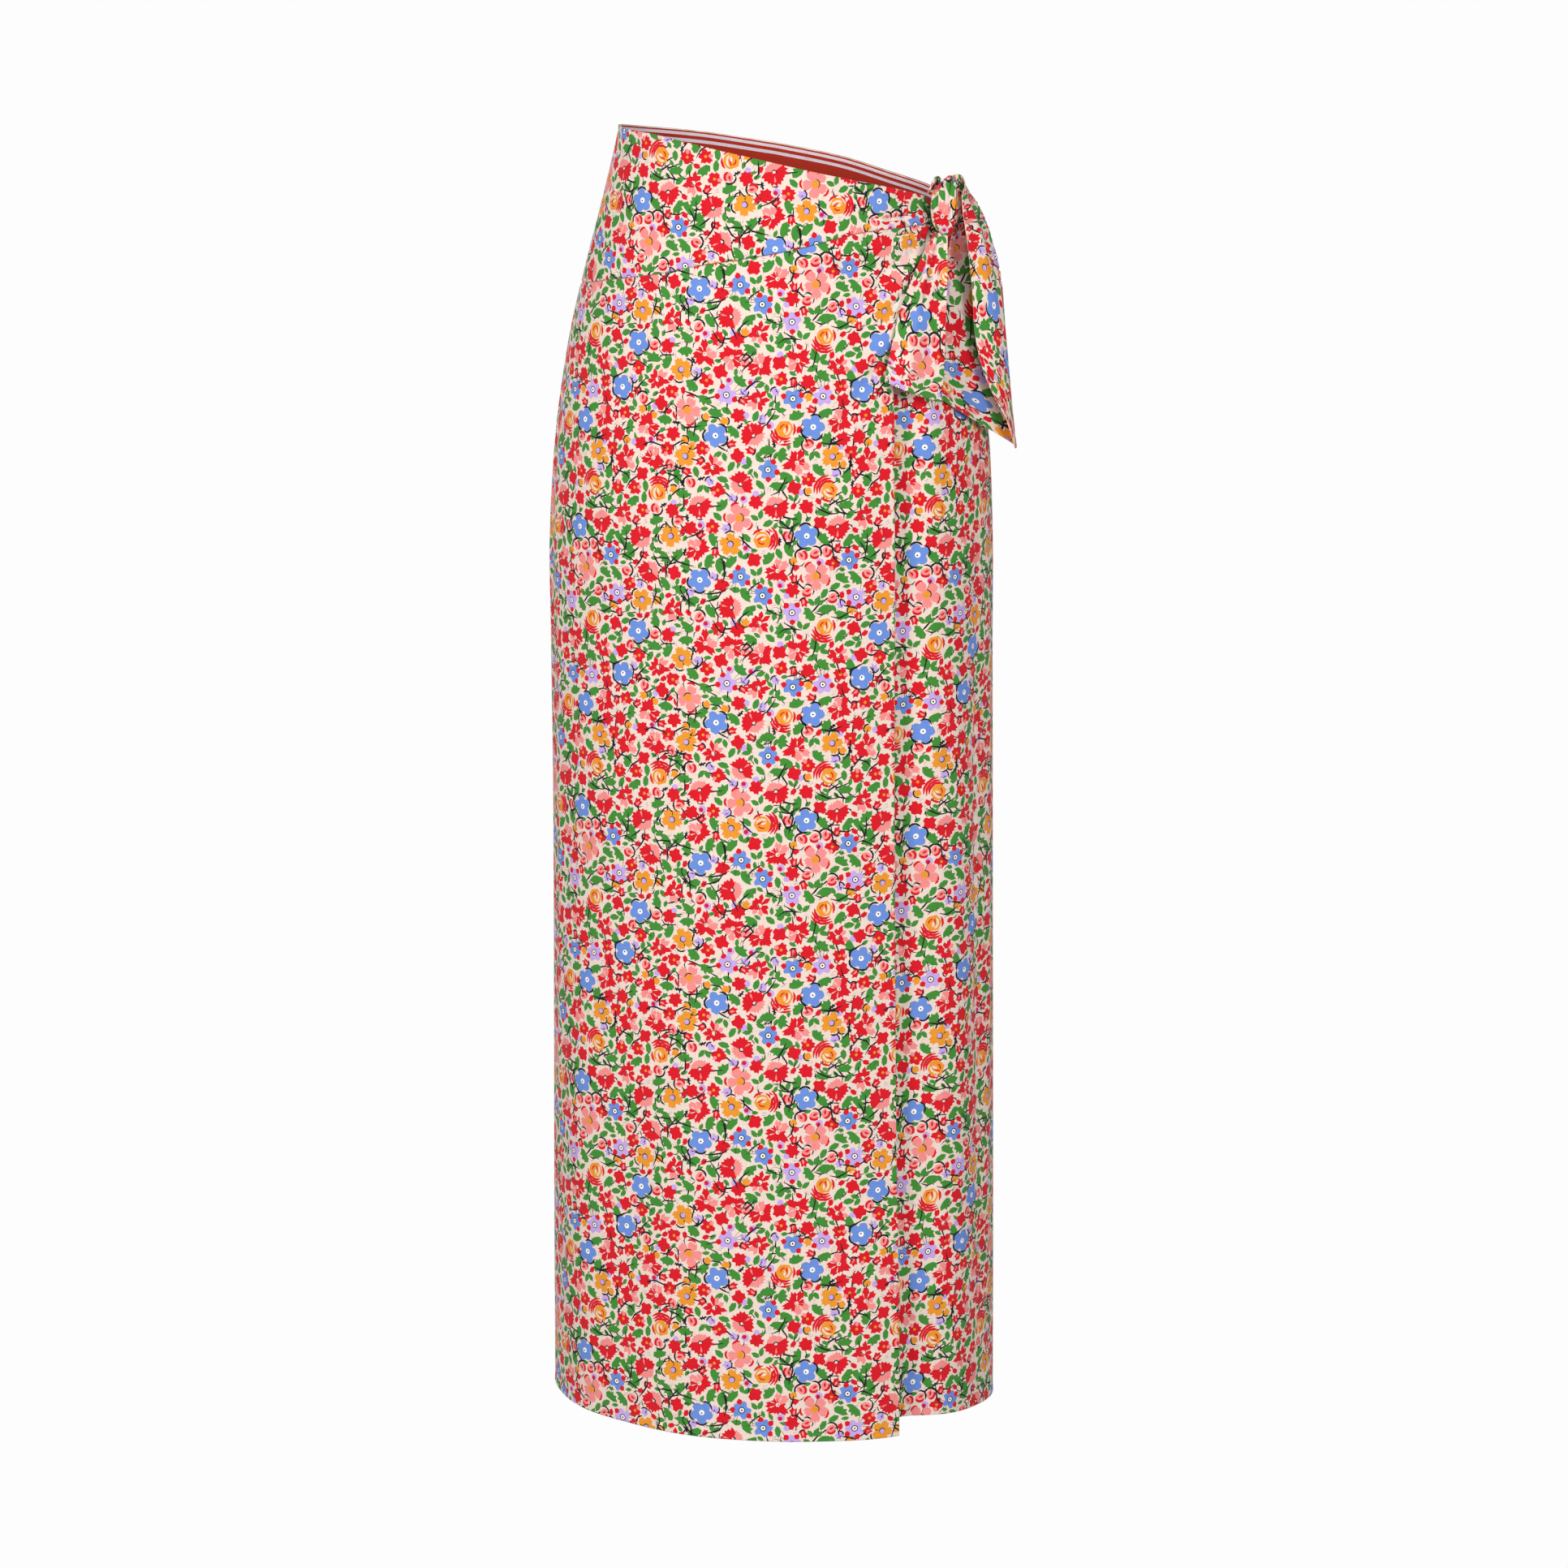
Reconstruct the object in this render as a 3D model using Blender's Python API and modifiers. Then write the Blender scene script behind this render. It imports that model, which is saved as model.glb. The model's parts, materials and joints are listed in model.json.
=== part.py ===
"""A long wrap skirt, worn and hollow, tied in a knot at the right hip.

The cloth hangs on a plain figure: an ellipse at every height. Each panel is a sheet of that form,
cut at its seams, moved in or out by its layer and by its soft folds, and thickened inwards into a
wall. The ties are sheets through short tables of sections. Metres, +Z up, front towards -Y.
The origin is the centre of the waist opening.
"""

import math

import bmesh
import bpy
from mathutils import Vector

# ---------------------------------------------------------------- driving dimensions

CLOTH = 0.0012           # wall of a panel, one layer of cloth with its finish
TIE_CLOTH = 0.0016       # wall of a tie, two layers turned through
SEAM_GAP = 0.0003        # between two pieces that are sewn together
SIDE_SEAM = 90.0         # degrees from centre front to either side seam
SIDE_GAP = 0.1           # degrees that a panel stops short of its side seam
YOKE_END = 60.0          # where the yoke seam ends, at the knot
UNDER_EDGE = -25.0       # hidden edge of the under front
OVERLAP_DEPTH = 0.009    # the under front lies this far inside the over front
FACING_HEIGHT = 0.045
FACING_GAP = 0.0005      # between the back yoke and its facing
UNDER_WAIST_DROP = 0.006  # the under front's waist edge sits this far below the over yoke's

# The figure's form. One row for each height, with half the width at the left seam and at the
# right seam, and half the depth.
FORM = (
    # height,  left,   right,  depth
    (-1.000, 0.1780, 0.1780, 0.1300),
    (-0.847, 0.1775, 0.1770, 0.1270),
    (-0.526, 0.1753, 0.1740, 0.1225),
    (-0.369, 0.1758, 0.1725, 0.1210),
    (-0.291, 0.1760, 0.1720, 0.1200),
    (-0.208, 0.1705, 0.1680, 0.1160),
    (-0.132, 0.1590, 0.1570, 0.1085),
    (-0.075, 0.1454, 0.1445, 0.1000),
    (-0.038, 0.1356, 0.1350, 0.0935),
    (0.000, 0.1260, 0.1260, 0.0885),
    (0.030, 0.1190, 0.1190, 0.0860),
)

# Edges that run around the skirt. One row for each place, with degrees from centre front
# (right seam at 90) and the height there.
WAIST_EDGE = (
    # angle, height
    (-180.0, 0.0110),
    (-150.0, 0.0205),
    (-110.0, 0.0272),
    (-90.0, 0.0285),
    (-75.0, 0.0275),
    (-46.0, 0.0235),
    (-13.0, 0.0105),
    (19.0, -0.0050),
    (46.0, -0.0165),
    (65.0, -0.0240),
    (90.0, -0.0265),
    (112.0, -0.0195),
    (134.0, -0.0110),
    (155.0, 0.0005),
    (180.0, 0.0110),
)
YOKE_SEAM = (
    # angle, height
    (-180.0, -0.0740),
    (-140.0, -0.0860),
    (-90.0, -0.0920),
    (-41.0, -0.0810),
    (-25.0, -0.0735),
    (4.0, -0.0615),
    (28.0, -0.0485),
    (45.0, -0.0455),
    (65.0, -0.0450),
    (90.0, -0.0520),
    (135.0, -0.0620),
    (180.0, -0.0740),
)
HEM = (
    # angle, height
    (-180.0, -0.9890),
    (-90.0, -0.9815),
    (-50.0, -0.9855),
    (0.0, -0.9920),
    (36.0, -0.9935),
    (90.0, -0.9915),
    (180.0, -0.9890),
)
UNDER_HEM = (
    # angle, height
    (-25.0, -0.9790),
    (33.0, -0.9815),
    (60.0, -0.9865),
    (90.0, -0.9915),
)

# The over front's free edge: how far below the yoke seam, and its angle there. The tie pulls its
# top corner round to the knot.
WRAP_EDGE = (
    # drop, angle
    (0.000, 60.0),
    (0.030, 49.5),
    (0.070, 40.0),
    (0.130, 34.0),
    (0.300, 32.5),
    (0.950, 33.4),
)

# The largest folds, each a soft ridge along a straight line on the form. Angles in degrees, the
# rest in metres. A negative rise is a trough.
FOLDS = (
    # from angle, height, to angle, height, half width, rise
    (58.0, -0.055, 26.0, -0.115, 0.013, 0.0040),
    (54.0, -0.080, 20.0, -0.160, 0.014, 0.0035),
    (50.0, -0.052, -14.0, -0.082, 0.010, 0.0025),
    (26.0, -0.760, 30.0, -1.080, 0.050, 0.0045),
    (-18.0, -0.620, -24.0, -1.080, 0.055, 0.0035),
    (-62.0, -0.560, -58.0, -1.080, 0.050, 0.0030),
    (54.0, -0.240, 56.0, -1.080, 0.030, 0.0040),
    (128.0, -0.420, 122.0, -1.080, 0.055, 0.0045),
    (168.0, -0.520, 172.0, -1.080, 0.060, 0.0040),
    (-138.0, -0.460, -132.0, -1.080, 0.055, 0.0045),
)

# The knot lifts the cloth that runs into it.
KNOT_ANGLE = 62.0
KNOT_HEIGHT = -0.040
KNOT_LIFT = 0.0030
KNOT_REACH = 0.030

# The knot's rings, from its top to where it pinches in, each an ellipse.
KNOT_RINGS = (
    # height, centre x, centre y, half x, half y
    (-0.0075, 0.1350, -0.0535, 0.0025, 0.0040),
    (-0.0125, 0.1338, -0.0535, 0.0062, 0.0080),
    (-0.0205, 0.1320, -0.0535, 0.0106, 0.0112),
    (-0.0300, 0.1318, -0.0540, 0.0118, 0.0125),
    (-0.0400, 0.1318, -0.0550, 0.0112, 0.0125),
    (-0.0470, 0.1318, -0.0560, 0.0080, 0.0105),
    (-0.0525, 0.1316, -0.0580, 0.0035, 0.0060),
)

# The ties' free ends and the ear. One row for each section from the knot down, with the points
# across it, (x, y, z) each.
OVER_TIE_SECTIONS = (
    # left edge, middle of the rear layer, rear of the fold, front of the fold, flap, flap's edge
    ((0.1360, -0.0400, -0.0100), (0.1390, -0.0370, -0.0075), (0.1425, -0.0400, -0.0080),
     (0.1445, -0.0490, -0.0115), (0.1450, -0.0600, -0.0145), (0.1430, -0.0690, -0.0180)),
    ((0.1400, -0.0370, -0.0380), (0.1440, -0.0340, -0.0350), (0.1510, -0.0350, -0.0300),
     (0.1540, -0.0450, -0.0290), (0.1510, -0.0590, -0.0310), (0.1440, -0.0690, -0.0350)),
    ((0.1345, -0.0470, -0.0640), (0.1450, -0.0400, -0.0600), (0.1600, -0.0360, -0.0530),
     (0.1635, -0.0460, -0.0510), (0.1575, -0.0600, -0.0530), (0.1475, -0.0670, -0.0570)),
    ((0.1320, -0.0600, -0.0950), (0.1490, -0.0480, -0.0920), (0.1700, -0.0370, -0.0880),
     (0.1722, -0.0480, -0.0860), (0.1635, -0.0600, -0.0880), (0.1515, -0.0640, -0.0920)),
    ((0.1315, -0.0690, -0.1340), (0.1520, -0.0530, -0.1360), (0.1755, -0.0370, -0.1340),
     (0.1778, -0.0480, -0.1320), (0.1675, -0.0600, -0.1300), (0.1545, -0.0650, -0.1300)),
    ((0.1285, -0.0745, -0.1580), (0.1520, -0.0570, -0.1700), (0.1795, -0.0370, -0.1760),
     (0.1818, -0.0470, -0.1720), (0.1735, -0.0570, -0.1660), (0.1635, -0.0620, -0.1630)),
    ((0.1257, -0.0780, -0.1739), (0.1515, -0.0590, -0.1919), (0.1840, -0.0370, -0.2135),
     (0.1866, -0.0440, -0.2170), (0.1830, -0.0510, -0.2050), (0.1795, -0.0560, -0.1936)),
)
SIDE_TIE_TAIL_SECTIONS = (
    # left edge, ridge, trough, right edge
    ((0.1225, -0.0655, -0.0485), (0.1250, -0.0720, -0.0495), (0.1285, -0.0710, -0.0505),
     (0.1325, -0.0715, -0.0515)),
    ((0.1090, -0.0750, -0.0750), (0.1165, -0.0840, -0.0770), (0.1245, -0.0785, -0.0790),
     (0.1325, -0.0790, -0.0810)),
    ((0.0965, -0.0880, -0.1055), (0.1085, -0.0955, -0.1085), (0.1200, -0.0885, -0.1115),
     (0.1313, -0.0850, -0.1145)),
    ((0.0885, -0.0975, -0.1380), (0.1020, -0.1025, -0.1425), (0.1160, -0.0950, -0.1470),
     (0.1300, -0.0900, -0.1510)),
    ((0.0843, -0.1035, -0.1595), (0.0985, -0.1065, -0.1655), (0.1130, -0.1000, -0.1715),
     (0.1280, -0.0920, -0.1762)),
)
EAR_SECTIONS = (
    # left edge, left of the bend, right of the bend, right edge
    ((0.1228, -0.0580, -0.0115), (0.1236, -0.0520, -0.0085), (0.1262, -0.0510, -0.0078),
     (0.1276, -0.0540, -0.0100)),
    ((0.1200, -0.0600, -0.0165), (0.1210, -0.0510, -0.0140), (0.1245, -0.0475, -0.0130),
     (0.1262, -0.0480, -0.0150)),
    ((0.1180, -0.0580, -0.0205), (0.1190, -0.0505, -0.0200), (0.1225, -0.0450, -0.0190),
     (0.1245, -0.0440, -0.0200)),
)

# The side tie, from the right side seam forward to the back of the knot.
SIDE_TIE_FROM = 89.4
SIDE_TIE_TO = 69.0
SIDE_TIE_LIFT = 0.0065
SIDE_TIE_EDGES = (
    # angle, upper edge, lower edge
    (69.0, -0.0270, -0.0430),
    (80.0, -0.0270, -0.0460),
    (90.0, -0.0275, -0.0500),
)

CREAM_PRINT = (0.84, 0.70, 0.60)
STRIPED_FACING = (0.50, 0.16, 0.12)

collection = bpy.data.collections.new("wrap_skirt")


# ---------------------------------------------------------------- reading the tables

def mix(first, second, share):
    return first + (second - first) * share


def soft_step(low, high, value):
    share = min(max((value - low) / (high - low), 0.0), 1.0)
    return share * share * (3.0 - 2.0 * share)


def read(table, at):
    """The table's other columns at a value of its first, by a smooth curve through the rows."""
    at = min(max(at, table[0][0]), table[-1][0])
    row = 0
    while row < len(table) - 2 and at > table[row + 1][0]:
        row += 1
    before = table[max(row - 1, 0)]
    start = table[row]
    end = table[row + 1]
    after = table[min(row + 2, len(table) - 1)]
    span = end[0] - start[0]
    share = (at - start[0]) / span
    values = []
    for column in range(1, len(start)):
        slope_in = (end[column] - before[column]) / (end[0] - before[0]) * span
        slope_out = (after[column] - start[column]) / (after[0] - start[0]) * span
        values.append(hermite(start[column], end[column], slope_in, slope_out, share))
    return values


def hermite(start, end, slope_in, slope_out, share):
    square = share * share
    cube = square * share
    return (
        start * (2.0 * cube - 3.0 * square + 1.0)
        + slope_in * (cube - 2.0 * square + share)
        + end * (3.0 * square - 2.0 * cube)
        + slope_out * (cube - square)
    )


def along(points, share):
    """A point at a share, 0 to 1, of a smooth curve through evenly counted points."""
    steps = len(points) - 1
    place = min(max(share, 0.0), 1.0) * steps
    index = min(int(place), steps - 1)
    start = points[index]
    end = points[index + 1]
    slope_in = (end - points[index - 1]) * 0.5 if index > 0 else end - start
    slope_out = (points[index + 2] - start) * 0.5 if index < steps - 1 else end - start
    return hermite(start, end, slope_in, slope_out, place - index)


# ---------------------------------------------------------------- the worn form

def form_normal(angle, height):
    left, right, depth = read(FORM, height)
    side = math.sin(math.radians(angle))
    width = mix(left, right, 0.5 + 0.5 * side)
    return Vector((side / width, -math.cos(math.radians(angle)) / depth, 0.0)).normalized()


def fold_rise(angle, height):
    """How far the folds and the knot move the cloth outwards at a place on the form."""
    left, right, depth = read(FORM, height)
    metres_per_degree = math.radians(0.5 * (0.5 * (left + right) + depth))
    rise = 0.0
    for from_angle, from_height, to_angle, to_height, half_width, fold in FOLDS:
        run = (to_angle - from_angle) * metres_per_degree
        fall = to_height - from_height
        across = (angle - from_angle) * metres_per_degree
        down = height - from_height
        length = math.hypot(run, fall)
        share = (across * run + down * fall) / (length * length)
        aside = abs(across * fall - down * run) / length
        if 0.0 < share < 1.0 and aside < half_width:
            rise += fold * math.cos(aside / half_width * math.pi / 2) ** 2 * math.sin(share * math.pi)
    knot_away = math.hypot((angle - KNOT_ANGLE) * metres_per_degree, height - KNOT_HEIGHT)
    return rise + KNOT_LIFT * (1.0 - soft_step(0.0, KNOT_REACH, knot_away))


def on_form(angle, height, out=0.0):
    """The place on the cloth at an angle and a height, moved outwards."""
    left, right, depth = read(FORM, height)
    side = math.sin(math.radians(angle))
    width = mix(left, right, 0.5 + 0.5 * side)
    surface = Vector((width * side, -depth * math.cos(math.radians(angle)), height))
    return surface + form_normal(angle, height) * (out + fold_rise(angle, height))


def waist(angle):
    return read(WAIST_EDGE, angle)[0]


def yoke_seam(angle):
    return read(YOKE_SEAM, angle)[0]


def hem(angle):
    return read(HEM, angle)[0]


def turn(angle):
    """The angle as the tables hold it, from -180 to 180."""
    return (angle + 180.0) % 360.0 - 180.0


def fall(down):
    """Share of a panel's height at a share of its rows: rows lie closer together near the top."""
    return down * (0.55 + 0.45 * down)


# ---------------------------------------------------------------- building blocks

def cloth_material(name, colour):
    material = bpy.data.materials.new(name)
    material.use_nodes = True
    shader = material.node_tree.nodes["Principled BSDF"]
    shader.inputs["Base Color"].default_value = (*colour, 1.0)
    shader.inputs["Roughness"].default_value = 0.85
    shader.inputs["Metallic"].default_value = 0.0
    return material


def add_object(name, mesh, colour):
    piece = bpy.data.objects.new(name, mesh)
    collection.objects.link(piece)
    mesh.materials.append(cloth_material(name + "_cloth", colour))
    mesh.shade_smooth()
    mesh.set_sharp_from_angle(angle=math.radians(40.0))
    return piece


def cloth_sheet(name, columns, rows, place, wall=CLOTH, colour=CREAM_PRINT):
    """A grid of cloth laid at place(across, down), thickened to the inside."""
    grid = bmesh.new()
    bmesh.ops.create_grid(grid, x_segments=columns, y_segments=rows, size=0.5)
    for corner in grid.verts:
        corner.co = place(corner.co.x + 0.5, 0.5 - corner.co.y)
    mesh = bpy.data.meshes.new(name)
    grid.to_mesh(mesh)
    grid.free()
    piece = add_object(name, mesh, colour)
    thicken = piece.modifiers.new("wall", "SOLIDIFY")
    thicken.thickness = wall
    thicken.offset = -1.0
    thicken.use_even_offset = False
    return piece


def sheet_through(name, sections, columns, rows):
    """A tie's sheet, smooth along and across its table of sections."""
    lines = [[Vector(point) for point in section] for section in sections]

    def place(across, down):
        return along([along(line, down) for line in zip(*lines)], across)

    return cloth_sheet(name, columns, rows, place, wall=TIE_CLOTH)


# ---------------------------------------------------------------- the panels

def free_edge(drop):
    """The angle of the over front's free edge, by how far below the yoke seam it is."""
    return read(WRAP_EDGE, drop)[0]


def make_over_front():
    left_edge = -SIDE_SEAM + SIDE_GAP
    bottom_edge = free_edge(1.0)

    def place(across, down):
        top = yoke_seam(mix(left_edge, YOKE_END, across)) - SEAM_GAP
        bottom = hem(mix(left_edge, bottom_edge, across))
        height = mix(top, bottom, fall(down))
        return on_form(mix(left_edge, free_edge(top - height), across), height)

    return cloth_sheet("over_front", 24, 22, place)


def make_over_yoke():
    def place(across, down):
        angle = mix(-SIDE_SEAM + SIDE_GAP, YOKE_END + 2.0, across)
        return on_form(angle, mix(waist(angle), yoke_seam(angle), down))

    return cloth_sheet("over_yoke", 24, 4, place)


def under_front_depth(angle, height):
    """How far inside the form the under front lies: deep where the over front covers it."""
    cover = free_edge(yoke_seam(YOKE_END) - height)
    return OVERLAP_DEPTH * (1.0 - soft_step(cover + 3.0, cover + 15.0, angle))


def make_under_front():
    def place(across, down):
        angle = mix(UNDER_EDGE, SIDE_SEAM - SIDE_GAP, across)
        top = waist(angle) - UNDER_WAIST_DROP * (1.0 - soft_step(70.0, 88.0, angle))
        height = mix(top, read(UNDER_HEM, angle)[0], fall(down))
        return on_form(angle, height, -under_front_depth(angle, height))

    return cloth_sheet("under_front", 18, 20, place)


def back_angle(across):
    """From the right side seam round the back to the left side seam."""
    return mix(SIDE_SEAM + SIDE_GAP, 360.0 - SIDE_SEAM - SIDE_GAP, across)


def back_on_form(angle, height, out=0.0):
    """The same as on_form, where the angle runs on past 180."""
    return on_form(turn(angle), height, out)


def make_back():
    def place(across, down):
        angle = back_angle(across)
        top = yoke_seam(turn(angle)) - SEAM_GAP
        return back_on_form(angle, mix(top, hem(turn(angle)), down))

    return cloth_sheet("back", 22, 16, place)


def make_back_yoke():
    def place(across, down):
        angle = back_angle(across)
        return back_on_form(angle, mix(waist(turn(angle)), yoke_seam(turn(angle)), down))

    return cloth_sheet("back_yoke", 22, 4, place)


def make_back_facing():
    inside = CLOTH + FACING_GAP

    def place(across, down):
        angle = back_angle(across)
        top = waist(turn(angle))
        reach = min(FACING_HEIGHT, top - yoke_seam(turn(angle)))
        return back_on_form(angle, top - reach * down, -inside)

    return cloth_sheet("back_facing", 22, 3, place, colour=STRIPED_FACING)


# ---------------------------------------------------------------- the knot and the ties

def make_side_tie():
    def place(across, down):
        angle = mix(SIDE_TIE_TO, SIDE_TIE_FROM, across)
        upper, lower = read(SIDE_TIE_EDGES, angle)
        height = mix(upper, lower, down)
        lift = SIDE_TIE_LIFT * (1.0 - soft_step(SIDE_TIE_TO, 84.0, angle))
        return on_form(angle, height, TIE_CLOTH + SEAM_GAP + lift)

    return cloth_sheet("side_tie", 6, 3, place, wall=TIE_CLOTH)


def make_knot(sides=20):
    """A rounded lump, because its hidden layers are packed tight."""
    lump = bmesh.new()
    rings = []
    for height, centre_x, centre_y, half_x, half_y in KNOT_RINGS:
        ring = []
        for side in range(sides):
            turn_round = 2.0 * math.pi * side / sides
            x = centre_x + half_x * math.cos(turn_round)
            y = centre_y + half_y * math.sin(turn_round)
            ring.append(lump.verts.new((x, y, height)))
        rings.append(ring)
    for upper, lower in zip(rings, rings[1:]):
        for side in range(sides):
            after = (side + 1) % sides
            lump.faces.new((upper[side], lower[side], lower[after], upper[after]))
    lump.faces.new(rings[0])
    lump.faces.new(reversed(rings[-1]))
    mesh = bpy.data.meshes.new("tie_knot")
    lump.to_mesh(mesh)
    lump.free()
    return add_object("tie_knot", mesh, CREAM_PRINT)


def main():
    for leftover in list(bpy.data.objects):
        bpy.data.objects.remove(leftover)
    bpy.context.scene.collection.children.link(collection)
    make_over_front()
    make_over_yoke()
    make_under_front()
    make_back()
    make_back_yoke()
    make_back_facing()
    make_side_tie()
    make_knot()
    sheet_through("knot_ear", EAR_SECTIONS, 6, 4)
    sheet_through("over_tie_tail", OVER_TIE_SECTIONS, 15, 14)
    sheet_through("side_tie_tail", SIDE_TIE_TAIL_SECTIONS, 10, 10)


main()
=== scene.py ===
# %% [markdown]
# # A long wrap skirt, tied at the hip
#
# This lesson dresses a CAD model of a skirt in its real cloth. The CAD part gives every panel its
# place and its wall. Here each panel becomes a thin shell of printed cotton, with the print cut
# into its mesh, turned and stitched edges, and the creases that run into the knot.
#
# The cells run from top to bottom. Lengths are in metres and +Z is up. The front faces -Y, so the
# side that is on the right when the front is seen, with the knot, is at +X.

# %% Start from the CAD model
import json
import math
import random

import bpy
import numpy as np
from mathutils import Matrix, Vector, kdtree
from mathutils.geometry import delaunay_2d_cdt

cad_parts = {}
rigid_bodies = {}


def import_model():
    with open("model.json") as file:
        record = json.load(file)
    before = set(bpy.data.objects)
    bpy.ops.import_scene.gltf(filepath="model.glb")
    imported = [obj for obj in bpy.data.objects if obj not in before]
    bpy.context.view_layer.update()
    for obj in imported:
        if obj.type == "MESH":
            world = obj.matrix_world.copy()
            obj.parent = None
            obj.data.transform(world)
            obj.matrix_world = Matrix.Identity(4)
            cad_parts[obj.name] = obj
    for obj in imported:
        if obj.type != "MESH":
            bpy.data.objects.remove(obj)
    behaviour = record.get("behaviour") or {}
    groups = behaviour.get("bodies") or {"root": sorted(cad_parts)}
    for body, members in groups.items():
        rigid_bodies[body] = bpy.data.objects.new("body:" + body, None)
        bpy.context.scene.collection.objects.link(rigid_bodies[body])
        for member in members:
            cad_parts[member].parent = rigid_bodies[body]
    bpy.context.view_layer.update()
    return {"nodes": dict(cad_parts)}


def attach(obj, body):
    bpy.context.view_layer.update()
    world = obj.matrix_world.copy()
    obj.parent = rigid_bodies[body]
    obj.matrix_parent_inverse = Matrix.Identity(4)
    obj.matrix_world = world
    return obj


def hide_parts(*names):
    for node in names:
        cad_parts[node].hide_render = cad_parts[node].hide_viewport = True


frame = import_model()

print("CAD pieces:", ", ".join(sorted(frame["nodes"])))


# %% [markdown]
# ## The worn form
# A wrap skirt is cut flat and takes its shape from the body inside it. The CAD model hangs it on a
# plain figure, an ellipse at every height, and the same tables are repeated here so that the cloth
# lies exactly where the CAD solids are. A sculpted mesh would also do, but tables keep the panels'
# shared seams on the same line without any care.

# %% The figure's form and the edges that run round it
FORM = (
    # height, half width at the left, at the right, half depth
    (-1.000, 0.1780, 0.1780, 0.1300),
    (-0.847, 0.1775, 0.1770, 0.1270),
    (-0.526, 0.1753, 0.1740, 0.1225),
    (-0.369, 0.1758, 0.1725, 0.1210),
    (-0.291, 0.1760, 0.1720, 0.1200),
    (-0.208, 0.1705, 0.1680, 0.1160),
    (-0.132, 0.1590, 0.1570, 0.1085),
    (-0.075, 0.1454, 0.1445, 0.1000),
    (-0.038, 0.1356, 0.1350, 0.0935),
    (0.000, 0.1260, 0.1260, 0.0885),
    (0.030, 0.1190, 0.1190, 0.0860),
)
# Degrees from centre front, the right side seam at 90, and the height there.
WAIST_EDGE = (
    (-180.0, 0.0110), (-150.0, 0.0205), (-110.0, 0.0272), (-90.0, 0.0285), (-75.0, 0.0275),
    (-46.0, 0.0235), (-13.0, 0.0105), (19.0, -0.0050), (46.0, -0.0165), (65.0, -0.0240),
    (90.0, -0.0265), (112.0, -0.0195), (134.0, -0.0110), (155.0, 0.0005), (180.0, 0.0110),
)
YOKE_SEAM = (
    (-180.0, -0.0740), (-140.0, -0.0860), (-90.0, -0.0920), (-41.0, -0.0810), (-25.0, -0.0735),
    (4.0, -0.0615), (28.0, -0.0485), (45.0, -0.0455), (65.0, -0.0450), (90.0, -0.0520),
    (135.0, -0.0620), (180.0, -0.0740),
)
HEM = (
    (-180.0, -0.9890), (-90.0, -0.9815), (-50.0, -0.9855), (0.0, -0.9920), (36.0, -0.9935),
    (90.0, -0.9915), (180.0, -0.9890),
)
UNDER_HEM = ((-25.0, -0.9790), (33.0, -0.9815), (60.0, -0.9865), (90.0, -0.9915))
# How far below the yoke seam, and the angle of the over front's free edge there.
WRAP_EDGE = (
    (0.000, 60.0), (0.030, 49.5), (0.070, 40.0), (0.130, 34.0), (0.300, 32.5), (0.950, 33.4),
)

SIDE_SEAM = 89.9          # degrees; a panel stops just short of its side seam
YOKE_END = 60.0           # where the yoke seam meets the knot
UNDER_EDGE = -25.0        # the under front's hidden edge
OVERLAP_DEPTH = 0.009     # how far inside the over front the under front lies
SEAM_GAP = 0.0003
TIE_CLOTH = 0.0016        # the CAD wall of a tie
FACING_HEIGHT = 0.045


def hermite(start, end, slope_in, slope_out, share):
    """A smooth step from one point to the next, with a slope at each."""
    square = share * share
    cube = square * share
    return (start * (2.0 * cube - 3.0 * square + 1.0) + slope_in * (cube - 2.0 * square + share)
            + end * (3.0 * square - 2.0 * cube) + slope_out * (cube - square))


def smooth(table, at):
    """A table's columns at many values of its first one, by a smooth curve through its rows."""
    rows = np.array(table, float)
    at = np.clip(np.asarray(at, float), rows[0, 0], rows[-1, 0])
    row = np.clip(np.searchsorted(rows[:, 0], at, side="right") - 1, 0, len(rows) - 2)
    before, start = rows[np.maximum(row - 1, 0)], rows[row]
    end, after = rows[row + 1], rows[np.minimum(row + 2, len(rows) - 1)]
    span = end[..., :1] - start[..., :1]
    slope_in = (end - before) / (end[..., :1] - before[..., :1]) * span
    slope_out = (after - start) / (after[..., :1] - start[..., :1]) * span
    share = (at[..., None] - start[..., :1]) / span
    return hermite(start, end, slope_in, slope_out, share)[..., 1:]


def turned(angle):
    """The same angle between -180 and 180 degrees."""
    return (np.asarray(angle, float) + 180.0) % 360.0 - 180.0


def curve(table, angle):
    """The height of an edge that runs round the skirt."""
    return smooth(table, turned(angle))[..., 0]


def waist_height(angle):
    return curve(WAIST_EDGE, angle)


def yoke_height(angle):
    return curve(YOKE_SEAM, angle)


def hem_height(angle):
    return curve(HEM, angle)


def under_hem_height(angle):
    return smooth(UNDER_HEM, angle)[..., 0]


def soft_step(low, high, value):
    """0 below `low`, 1 above `high`, and smooth between."""
    share = np.clip((value - low) / (high - low), 0.0, 1.0)
    return share * share * (3.0 - 2.0 * share)


widest = max(left + right for _height, left, right, _depth in FORM)
print("at its widest:", round(1000 * widest), "mm; yoke is",
      round(float(waist_height(-90) - yoke_height(-90)) * 1000), "mm high at the left")
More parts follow.
